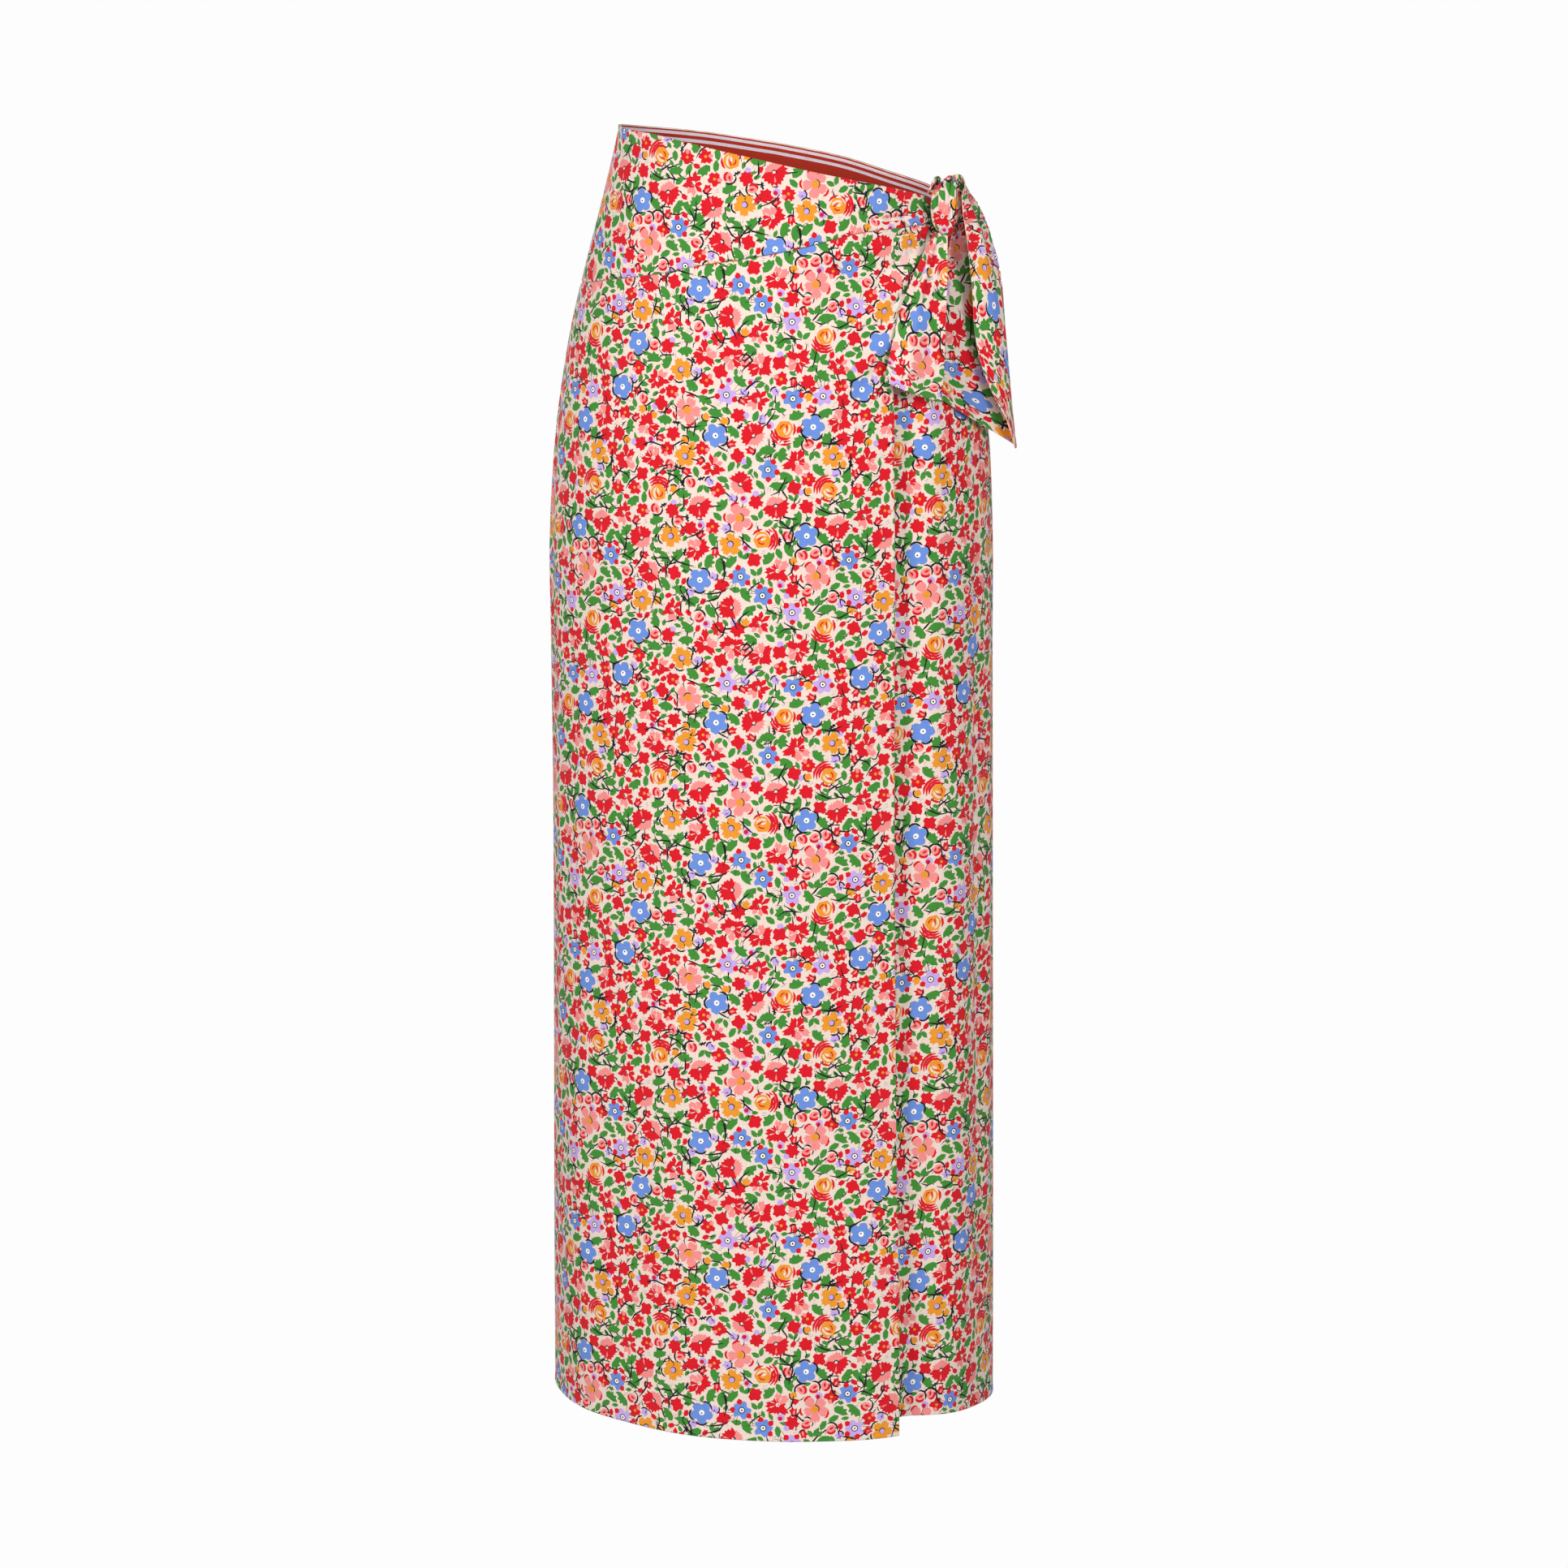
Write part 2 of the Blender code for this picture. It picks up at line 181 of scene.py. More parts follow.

# %% [markdown]
# ## Folds and creases
# Cloth that hangs free makes long soft folds, and cloth that is pulled makes short creases towards
# what pulls it. A cloth simulation would find some of them, but never the ones this skirt has, so
# they're listed one by one. Each is a ridge (or, with a negative rise, a trough) along a straight line
# on the form. The first table is the CAD model's own. The second adds the fine ones: those that
# fan out from the knot, the fold just under the yoke seam, and the soft dents down the panels.

# %% Folds and creases as lines on the form
FOLDS = (
    # from angle, height, to angle, height, half width, rise
    (58.0, -0.055, 26.0, -0.115, 0.013, 0.0040),
    (54.0, -0.080, 20.0, -0.160, 0.014, 0.0035),
    (50.0, -0.052, -14.0, -0.082, 0.010, 0.0025),
    (26.0, -0.760, 30.0, -1.080, 0.050, 0.0045),
    (-18.0, -0.620, -24.0, -1.080, 0.055, 0.0035),
    (-62.0, -0.560, -58.0, -1.080, 0.050, 0.0030),
    (54.0, -0.240, 56.0, -1.080, 0.030, 0.0040),
    (128.0, -0.420, 122.0, -1.080, 0.055, 0.0045),
    (168.0, -0.520, 172.0, -1.080, 0.060, 0.0040),
    (-138.0, -0.460, -132.0, -1.080, 0.055, 0.0045),
)
CREASES = (
    # from angle, height, to angle, height, half width, rise
    (62.0, -0.046, 34.0, -0.082, 0.0060, -0.0016),
    (60.0, -0.052, 30.0, -0.098, 0.0060, 0.0013),
    (58.0, -0.060, 36.0, -0.112, 0.0070, -0.0019),
    (54.0, -0.082, 33.0, -0.150, 0.0095, -0.0022),
    (47.0, -0.110, 31.0, -0.190, 0.0110, -0.0021),
    (62.0, -0.046, 8.0, -0.066, 0.0055, -0.0013),
    (58.0, -0.043, 16.0, -0.054, 0.0045, 0.0009),
    (62.0, -0.034, 30.0, -0.030, 0.0050, 0.0012),
    (62.0, -0.038, 22.0, -0.040, 0.0050, -0.0014),
    (62.0, -0.030, 44.0, -0.024, 0.0030, -0.0010),
    (34.0, -0.130, 12.0, -0.215, 0.0100, -0.0016),
    (34.0, -0.090, -6.0, -0.130, 0.0090, -0.0014),
    (30.0, -0.200, 8.0, -0.330, 0.0120, 0.0010),
    (-34.0, -0.110, -60.0, -0.180, 0.0120, -0.0010),
    (-84.0, -0.120, -78.0, -0.420, 0.0140, -0.0016),
    (-70.0, -0.300, -74.0, -0.760, 0.0180, 0.0012),
    (-8.0, -0.420, -2.0, -0.900, 0.0260, -0.0014),
    (78.0, -0.300, 74.0, -0.900, 0.0140, 0.0016),
    (66.0, -0.200, 68.0, -0.980, 0.0120, -0.0016),
    (44.0, -0.500, 46.0, -1.060, 0.0120, -0.0014),
    (110.0, -0.100, 140.0, -0.300, 0.0200, -0.0014),
    (200.0, -0.100, 186.0, -0.400, 0.0220, 0.0012),
    (-120.0, -0.120, -150.0, -0.330, 0.0200, -0.0012),
)
# The knot lifts the cloth that runs into it.
KNOT_ANGLE = 62.0
KNOT_HEIGHT = -0.040
KNOT_LIFT = 0.0030
KNOT_REACH = 0.030


def ellipse(angle, height):
    """The bare form, and the way out from it."""
    left, right, depth = np.moveaxis(smooth(FORM, height), -1, 0)
    side, front = np.sin(np.radians(angle)), np.cos(np.radians(angle))
    width = left + (right - left) * (0.5 + 0.5 * side)
    surface = np.stack([width * side, -depth * front, height + 0.0 * side], axis=-1)
    out = np.stack([side / width, -front / depth, 0.0 * side], axis=-1)
    return surface, out / np.linalg.norm(out, axis=-1, keepdims=True)


def line_rises(lines, angle, height, per_degree):
    """How far all the folds of a table lift the cloth at each place."""
    rise = np.zeros(np.shape(angle))
    for from_angle, from_height, to_angle, to_height, half_width, fold in lines:
        run = turned(to_angle - from_angle) * per_degree
        drop = to_height - from_height
        across = turned(angle - from_angle) * per_degree
        down = height - from_height
        length = np.hypot(run, drop)
        share = (across * run + down * drop) / (length * length)
        aside = np.abs(across * drop - down * run) / length
        shape = np.cos(np.minimum(aside / half_width, 1.0) * np.pi / 2) ** 2
        rise += fold * shape * np.sin(np.clip(share, 0.0, 1.0) * np.pi)
    return rise


def on_form(angle, height, out=0.0):
    """Places on the worn cloth, moved outwards by `out`."""
    angle = turned(angle)
    height = np.asarray(height, float) + 0.0 * angle
    left, right, depth = np.moveaxis(smooth(FORM, height), -1, 0)
    per_degree = np.radians(0.5 * (0.5 * (left + right) + depth))
    knot_away = np.hypot((angle - KNOT_ANGLE) * per_degree, height - KNOT_HEIGHT)
    rise = line_rises(FOLDS, angle, height, per_degree)
    rise += line_rises(CREASES, angle, height, per_degree)
    rise += KNOT_LIFT * (1.0 - soft_step(0.0, KNOT_REACH, knot_away))
    surface, normal = ellipse(angle, height)
    return surface + normal * (out + rise)[..., None]


print(len(FOLDS), "folds and", len(CREASES), "creases")


# %% [markdown]
# ## Flat cloth on a round body
# The print has to lie flat on the cloth before it is worn, or its flowers would stretch over the
# hips. A chart turns flat cloth, in metres across from the middle of a panel, into an angle round
# the figure at each height, and back. It measures the real way round the ellipse.

# %% A chart of the flat cloth
def between(grid, rows, columns, row_at, column_at):
    """Reads a grid of values between its evenly spaced rows and columns."""
    row = np.clip((row_at - rows[0]) / (rows[1] - rows[0]), 0.0, len(rows) - 1.001)
    column = np.clip((column_at - columns[0]) / (columns[1] - columns[0]), 0.0, len(columns) - 1.001)
    low_row, low_column = row.astype(int), column.astype(int)
    row, column = row - low_row, column - low_column
    near = grid[low_row, low_column] * (1.0 - column) + grid[low_row, low_column + 1] * column
    far = grid[low_row + 1, low_column] * (1.0 - column) + grid[low_row + 1, low_column + 1] * column
    return near * (1.0 - row) + far * row


CHART_HEIGHTS = np.linspace(-1.04, 0.04, 136)
CHART_TURN = np.linspace(-96.0, 96.0, 193)     # degrees either side of the panel's middle
CHART_METRES = np.linspace(-0.29, 0.29, 233)


class Chart:
    """A panel's flat cloth and the same cloth round the figure. `middle` is its angle."""
    def __init__(self, middle):
        self.heights = CHART_HEIGHTS
        self.angles = middle + CHART_TURN
        self.metres = CHART_METRES
        angle, height = np.meshgrid(self.angles, self.heights)
        steps = np.linalg.norm(np.diff(ellipse(angle, height)[0], axis=1), axis=-1)
        way = np.concatenate([np.zeros((len(self.heights), 1)), np.cumsum(steps, axis=1)], axis=1)
        self.way = way - way[:, len(CHART_TURN) // 2, None]
        self.turns = np.array([np.interp(self.metres, row, self.angles) for row in self.way])

    def across(self, angle, height):
        return between(self.way, self.heights, self.angles, np.asarray(height), np.asarray(angle))

    def angle(self, across, height):
        return between(self.turns, self.heights, self.metres, height, across)


FRONT = Chart(0.0)
BACK = Chart(180.0)
print("front of the hips, seam to seam:",
      round(float(FRONT.across(90.0, -0.29) - FRONT.across(-90.0, -0.29)), 3), "m of cloth")

# %% [markdown]
# ## The printed cotton
# The cloth is a small floral, printed in flat inks on a cream ground. It could be an image or a web
# of shader nodes, but flat inks have hard edges, so here each flower is drawn as a few polygons, in
# millimetres, the way a print designer cuts a screen for each ink. Later the polygons are cut into
# the cloth's own mesh, and every face carries the number of its ink.

# %% The inks
INKS = ("ground", "pink", "red", "green", "orange", "blue", "lilac", "white", "black")
INK_NUMBER = {ink: number for number, ink in enumerate(INKS)}
print("inks:", ", ".join(INKS))


# %% [markdown]
# ### Petals, leaves and brush strokes
# A few shapes make the whole print: a disc, a leaf, a petal with a ragged end, and a stroke of a
# brush that thins out at its ends. `placed` turns, sizes and moves a drawing made of them.

# %% The shapes that every flower is drawn with
def disc(ink, radius, x=0.0, y=0.0, sides=8):
    steps = [2.0 * math.pi * side / sides for side in range(sides)]
    return (ink, [(x + radius * math.cos(step), y + radius * math.sin(step)) for step in steps])


def leaf(ink, length, width, start=0.0, lean=0.0):
    """An almond from `start` along +X, its tip moved aside by `lean`."""
    outline = ((0.0, 0.0), (0.24, 0.38), (0.58, 0.47), (0.86, 0.24), (1.0, 0.0), (0.70, -0.40),
               (0.28, -0.44))
    return (ink, [(start + along * length, side * width + lean * along * along)
                  for along, side in outline])


def sliver(ink, length, width, start=0.0):
    return (ink, [(start, 0.0), (start + 0.7 * length, 0.5 * width), (start + length, 0.0),
                  (start + 0.7 * length, -0.5 * width)])


def petal(ink, length, width, draw, start=0.0, teeth=2):
    """A petal that widens outwards to a ragged end."""
    outline = [(start, -0.14 * width), (start + 0.55 * length, -0.5 * width)]
    for tooth in range(teeth):
        side = (tooth + 0.5) / teeth - 0.5
        outline.append((start + length * draw.uniform(0.94, 1.06), side * width * 0.9))
        if tooth < teeth - 1:
            outline.append((start + length * draw.uniform(0.80, 0.88), (side + 0.5 / teeth) * width))
    outline += [(start + 0.60 * length, 0.5 * width), (start, 0.14 * width)]
    return (ink, outline)


def ragged(ink, radius, lobes, valley, teeth, draw, wobble=0.06):
    """A round of lobes, each cut into teeth at its end."""
    outline = []
    for lobe in range(lobes):
        middle, half = 2.0 * math.pi * lobe / lobes, math.pi / lobes
        places = [(middle - half, valley)]
        for tooth in range(teeth):
            share = (tooth + 0.5) / teeth * 2.0 - 1.0
            places.append((middle + half * share * 0.76, 1.0 - 0.12 * share * share))
            if tooth < teeth - 1:
                places.append((middle + half * (share + 1.0 / teeth) * 0.76, 0.83))
        for angle, reach in places:
            reach = radius * reach * (1.0 + draw.uniform(-wobble, wobble))
            outline.append((reach * math.cos(angle), reach * math.sin(angle)))
    return (ink, outline)


def rounded(ink, radius, lobes, valley, draw, wobble=0.04):
    """A round of lobes with smooth ends."""
    outline = []
    for lobe in range(lobes):
        for share, reach in ((-1.0, valley), (-0.60, 0.90), (-0.20, 1.0), (0.22, 1.0), (0.62, 0.90)):
            angle = 2.0 * math.pi * (lobe + 0.5 * share) / lobes
            reach = radius * reach * (1.0 + draw.uniform(-wobble, wobble))
            outline.append((reach * math.cos(angle), reach * math.sin(angle)))
    return (ink, outline)


def stroke(ink, points, width):
    """A brush stroke along a line of points, thin at both ends."""
    left, right = [], []
    last = len(points) - 1
    for place, (x, y) in enumerate(points):
        before, after = points[max(place - 1, 0)], points[min(place + 1, last)]
        run = math.hypot(after[0] - before[0], after[1] - before[1]) or 1.0
        half = 0.5 * width * (0.35 if place in (0, last) else 1.0)
        aside = (-(after[1] - before[1]) / run * half, (after[0] - before[0]) / run * half)
        left.append((x + aside[0], y + aside[1]))
        right.append((x - aside[0], y - aside[1]))
    return (ink, left + right[::-1])


def arc(ink, radius, start, end, width, x=0.0, y=0.0, bend=1.0):
    """A stroke round part of a circle, angles in degrees."""
    steps = max(3, int(abs(end - start) / 30.0) + 1)
    angles = [math.radians(start + (end - start) * step / steps) for step in range(steps + 1)]
    line = [(x + radius * math.cos(angle), y + bend * radius * math.sin(angle)) for angle in angles]
    return stroke(ink, line, width)


def placed(drawing, x=0.0, y=0.0, degrees=0.0, size=1.0):
    cosine = math.cos(math.radians(degrees)) * size
    sine = math.sin(math.radians(degrees)) * size
    return [(ink, [(x + cosine * px - sine * py, y + sine * px + cosine * py) for px, py in line])
            for ink, line in drawing]


print("a leaf has", len(leaf("green", 8.0, 5.0)[1]), "corners")

# %% [markdown]
# ### The flowers
# Each flower is a function, so that no two come out quite alike: `draw` is a seeded random
# generator that shakes the outline a little, as a hand would. Every drawing is centred on its own
# origin and lists its shapes from the bottom ink to the top one.

# %% Blue and lilac flowers
def blue_flower(draw):
    shapes = []
    for lobe in draw.sample(range(5), 3):
        rim = [arc("black", 5.2, -66, 60, 1.5, x=4.8)]
        shapes += placed(rim, degrees=72 * lobe + draw.uniform(-5, 5))
    shapes.append(rounded("blue", 9.2, 5, 0.70, draw))
    shapes.append(disc("white", 2.2, draw.uniform(-0.4, 0.4), 0.2, sides=9))
    shapes.append(disc("black", 0.75, draw.uniform(-0.4, 0.4), 0.1, sides=5))
    return shapes


def star_flower(ink, draw):
    star = []
    for point in range(5):
        for turn_by, reach in ((-11, 7.3), (9, 7.8), (36, 4.9)):
            angle = math.radians(72 * point + turn_by)
            reach *= 1.0 + draw.uniform(-0.06, 0.06)
            star.append((reach * math.cos(angle), reach * math.sin(angle)))
    shapes = []
    for hair in range(5):
        lean = 2.2 - 1.1 * hair + draw.uniform(-0.8, 0.8)
        hairs = [stroke("black", [(6.0, 0.0), (13.0, -lean * 1.2)], 1.0)]
        shapes += placed(hairs, degrees=-26 + 12 * hair)
    for side in draw.sample((1, 2, 3, 4), 3):
        shapes += placed([leaf("red", 5.6, 5.2, start=4.2)], degrees=72 * side + 36)
    shapes.append((ink, star))
    shapes.append(disc("black", 2.7, sides=8))
    shapes.append(disc("white", 2.0, sides=8))
    shapes.append(disc("black", 0.85, sides=5))
    return shapes


print("a blue flower is made of", len(blue_flower(random.Random(1))), "shapes")


# %% Red, orange and pink flowers
def red_daisy(draw):
    shapes = []
    first = draw.randrange(9)
    for number in range(8):
        ink = "pink" if (number - first) % 8 in (0, 1) else "red"
        length = draw.uniform(8.8, 11.0) if number % 3 else draw.uniform(5.4, 7.6)
        petals = [petal(ink, length, 6.2, draw, start=0.6, teeth=2)]
        shapes += placed(petals, degrees=45 * number + draw.uniform(-8, 8))
    for number in range(4):
        shapes += placed([sliver("ground", 5.0, 0.9, start=2.2)],
                         degrees=45 * (number + first) + 22)
    shapes.append(disc("ground", 1.8, sides=6))
    shapes.append(stroke("black", [(-0.4, -1.0), (0.8, 0.0), (0.1, 1.2)], 0.7))
    return shapes


def comb_daisy(draw):
    shapes = []
    for number in range(9):
        ink = "pink" if number in (3, 4) else "red"
        length = draw.uniform(4.2, 5.6) if number in (0, 1, 6) else draw.uniform(6.6, 8.6)
        shapes += placed([petal(ink, length, 4.0, draw, start=2.0, teeth=1)],
                         degrees=40 * number + draw.uniform(-8, 8))
    shapes.append(disc("red", 4.4, 1.4, 1.4, sides=8))
    shapes.append(disc("ground", 1.9, sides=6))
    shapes.append(arc("black", 1.2, 10, 190, 0.7))
    return shapes


def orange_flower(draw):
    shapes = []
    for lobe in draw.sample(range(5), 2):
        shapes += placed([arc("black", 4.9, -50, 60, 1.2, x=5.4)], degrees=72 * lobe)
    shapes.append(ragged("orange", 9.3, 5, 0.62, 3, draw))
    shapes.append(disc("black", 2.6, 0.3, -0.2, sides=8))
    shapes.append(disc("lilac", 2.1, sides=8))
    shapes.append(stroke("black", [(2.6, 1.0), (4.2, 2.6), (5.6, 2.8)], 0.7))
    return shapes


def pink_flower(draw):
    shapes = []
    for number in range(5):
        broad = [petal("pink", draw.uniform(7.8, 11.0), 8.2, draw, start=1.0, teeth=3)]
        shapes += placed(broad, degrees=72 * number + draw.uniform(-6, 6))
    for number in (0, 1, 3):
        rim = [arc("red", 4.6, -40, 52, 1.8, x=7.0)]
        shapes += placed(rim, degrees=72 * number + draw.uniform(-12, 12))
    shapes += placed([sliver("ground", 6.4, 1.4, start=3.6)], degrees=36)
    shapes.append(arc("black", 3.5, 190, 330, 0.8))
    shapes.append(ragged("orange", 3.2, 5, 0.84, 1, draw))
    return shapes


def rose(draw):
    shapes = [ragged("orange", 6.8, 6, 0.90, 1, draw)]
    shapes.append(arc("ground", 4.6, 40, 170, 1.5, bend=0.8))
    shapes.append(leaf("ground", 4.8, 2.2, start=-1.4, lean=1.4))
    shapes.append(leaf("red", 5.0, 1.9, start=-4.4, lean=2.6))
    shapes.append(arc("red", 3.4, 200, 300, 1.1))
    for ring, reach in enumerate((7.6, 9.7, 11.8)):
        lean = draw.uniform(-6, 6)
        shapes.append(arc("red", reach, -66 + 10 * ring + lean, 62 - 6 * ring + lean, 2.0))
    shapes.append(arc("red", 7.8, 84, 150, 1.8))
    return shapes


def half_rose(draw):
    shapes = []
    for number in range(4):
        fan = [petal("pink", draw.uniform(7.2, 8.8), 6.0, draw, start=0.4)]
        shapes += placed(fan, degrees=30 + 36 * number)
    for number in range(5):
        bowl = [petal("red", draw.uniform(8.4, 10.4), 7.6, draw, start=0.2)]
        shapes += placed(bowl, degrees=186 + 40 * number)
    for side in (6, 170):
        shapes += placed([leaf("red", 5.6, 2.8, start=4.4, lean=1.4)], degrees=side)
    shapes += placed([sliver("pink", 5.4, 1.6, start=2.4)], degrees=252)
    shapes.append(disc("ground", 1.7, 0.0, 1.0, sides=5))
    shapes.append(arc("black", 1.7, -40, 180, 1.0, y=0.4))
    shapes.append(arc("black", 10.6, 236, 268, 0.9))
    return shapes


def poppy(draw):
    shapes = [ragged("red", 6.2, draw.choice((4, 5)), 0.66, 2, draw, wobble=0.10)]
    other = draw.randrange(3)
    if other == 0:
        shapes.insert(0, disc("lilac", 2.8, 5.0, 3.2, sides=7))
        shapes.insert(0, leaf("green", 6.0, 3.2, start=4.0, lean=-2.4))
    elif other == 1:
        shapes.append(disc("orange", 1.3, sides=5))
        shapes += placed([leaf("pink", 4.4, 3.4, start=2.0)], degrees=draw.uniform(0, 360))
    else:
        shapes += placed([stroke("black", [(5.0, 0.0), (8.4, 1.2), (11.4, 0.0)], 1.0)],
                         degrees=draw.uniform(0, 360))
    return shapes


print("a rose is made of", len(rose(random.Random(1))), "shapes")


# %% Buds and berries
def heart_bud(draw):
    shapes = [arc("black", 5.2, -40, 100, 1.4)]
    shapes += [leaf("pink", 8.8, 5.4, start=-4.2, lean=1.2), leaf("pink", 6.6, 4.0, start=-3.0, lean=-2.8)]
    shapes.append(arc("red", 3.8, 190, 320, 2.0))
    shapes.append(leaf("red", 4.2, 2.2, start=-1.4, lean=0.8))
    return shapes


def tulip_bud(ink, draw):
    cup = ((-3.8, -0.6), (-3.1, 2.1), (-0.6, 2.6), (1.8, 3.3), (1.9, 1.5), (4.3, 0.4), (1.9, -0.9),
           (2.4, -3.0), (-0.8, -2.5), (-3.0, -2.2))
    shapes = [(ink, [(x + draw.uniform(-0.3, 0.3), y + draw.uniform(-0.2, 0.2)) for x, y in cup])]
    if ink == "red":
        shapes.append(leaf("pink", 4.4, 2.0, start=-3.0, lean=-1.0))
    if ink == "lilac":
        shapes.append(arc("black", 1.5, 10, 160, 0.55, x=0.8))
        shapes.append(arc("black", 1.5, 10, 160, 0.55, x=-1.2))
    shapes.append(arc("black", 3.9, 130, 240, 1.1))
    return shapes


def berry(draw):
    shapes = [disc("lilac", 3.2, sides=8)]
    shapes.append(disc("red", 1.9, draw.uniform(-0.8, 0.8), 0.8, sides=7))
    shapes.append(stroke("black", [(-3.0, -0.6), (-5.2, -1.6), (-8.4, -0.6)], 1.0))
    return shapes


def orange_bud(draw):
    shapes = [arc("black", 3.4, 60, 230, 1.2)]
    shapes.append(ragged("orange", 3.1, 4, 0.86, 1, draw))
    return shapes


def red_bud(draw):
    shapes = [stroke("black", [(-2.0, 0.0), (-4.4, 0.8), (-7.6, -0.4)], 1.0)]
    shapes.append(leaf("red", 6.4, 4.4, start=-2.8))
    shapes.append(leaf("red", 4.2, 2.6, start=-1.6, lean=2.2))
    return shapes


print("a berry is made of", len(berry(random.Random(1))), "shapes")


# %% Leaves, twigs and ticks
def ivy_leaf(draw):
    points = ((-6.0, -0.6), (-4.2, 2.9), (-2.4, 2.3), (-1.0, 4.8), (1.0, 3.0), (3.2, 3.9), (3.6, 1.9),
              (6.8, 0.8), (4.0, -2.2), (0.2, -3.2), (-3.6, -2.9))
    return [("green", [(x + draw.uniform(-0.5, 0.5), y + draw.uniform(-0.4, 0.4)) for x, y in points])]


def plain_leaf(draw):
    return [leaf("green", draw.uniform(8.4, 10.0), 5.4, start=-4.6, lean=draw.uniform(-1.4, 1.4))]


def leaf_pair(draw):
    first = placed([leaf("green", 7.4, 4.4, start=0.7)], degrees=draw.uniform(24, 44))
    second = placed([leaf("green", 8.0, 4.4, start=0.7)], degrees=draw.uniform(-40, -24))
    return first + second


def small_leaf(draw):
    return [leaf("green", draw.uniform(5.6, 6.8), 3.5, start=-3.0)]


def lashes(draw):
    return [stroke("black", [(-2.2, -0.9), (2.0, -0.6)], 0.9),
            stroke("black", [(-1.8, 0.9), (2.4, 1.2)], 0.9)]


def fir_twig(draw):
    points = ((-3.6, -0.4), (-2.2, 0.4), (-2.0, 1.8), (-0.8, 0.6), (0.0, 2.0), (0.8, 0.6), (2.6, 1.4),
              (3.6, 0.0), (1.6, -0.4), (1.4, -1.8), (0.0, -0.6), (-1.2, -1.7), (-1.6, -0.6))
    return [("black", list(points))]


print("an ivy leaf has", len(ivy_leaf(random.Random(1))[0][1]), "corners")

# %% [markdown]
# ### One repeat of the print
# A printed cloth repeats. Its tile here is 190 by 220 mm. The flowers go down first, in a shuffled
# order, each at the loneliest of many places tried. Then leaves, buds and ticks fill the gaps, each
# turned to the way it fits best. `room` holds, for every millimetre of the tile, how far it is to
# the nearest drawing, and it wraps round, so that the tile's edges meet. Some leaves get a thin
# black stem, and half of the stems are printed over the leaves.

# %% Where each drawing goes
TILE_WIDTH = 190
TILE_HEIGHT = 220

# How many of each flower, and how much room it takes.
FLOWERS = (
    (3, 11.0, pink_flower),
    (5, 10.5, rose),
    (8, 9.5, half_rose),
    (11, 9.5, red_daisy),
    (7, 8.5, comb_daisy),
    (6, 9.5, blue_flower),
    (6, 9.5, orange_flower),
    (5, 8.5, lambda draw: star_flower("blue", draw)),
    (4, 8.5, lambda draw: star_flower("lilac", draw)),
)
SMALL_FLOWERS = (
    (22, 5.0, poppy),
    (6, 5.0, heart_bud),
)
# The room that a gap needs, and the drawings to pick from.
FILLERS = (
    (4.6, (ivy_leaf, leaf_pair, ivy_leaf, poppy)),
    (3.6, (ivy_leaf, plain_leaf, heart_bud, leaf_pair, lambda draw: tulip_bud("red", draw))),
    (2.9, (plain_leaf, lambda draw: tulip_bud("lilac", draw), berry, red_bud, ivy_leaf, red_bud,
           lambda draw: tulip_bud("orange", draw), lambda draw: tulip_bud("red", draw))),
    (2.3, (small_leaf, orange_bud, small_leaf, berry, red_bud)),
    (1.9, (small_leaf, lashes, fir_twig, lashes)),
)


def lonely_places(flowers, draw):
    """A place for every flower: of many tried, the one with the most room round it."""
    taken = []
    for radius, drawing in flowers:
        tries = np.array([(draw.uniform(0, TILE_WIDTH), draw.uniform(0, TILE_HEIGHT))
                          for _ in range(400)])
        room = np.full(len(tries), 99.0)
        for x, y, other, _drawing in taken:
            away_x = np.abs((tries[:, 0] - x + TILE_WIDTH / 2) % TILE_WIDTH - TILE_WIDTH / 2)
            away_y = np.abs((tries[:, 1] - y + TILE_HEIGHT / 2) % TILE_HEIGHT - TILE_HEIGHT / 2)
            room = np.minimum(room, np.hypot(away_x, away_y) - other - radius)
        x, y = tries[int(np.argmax(room))]
        taken.append((float(x), float(y), radius, drawing))
    return taken


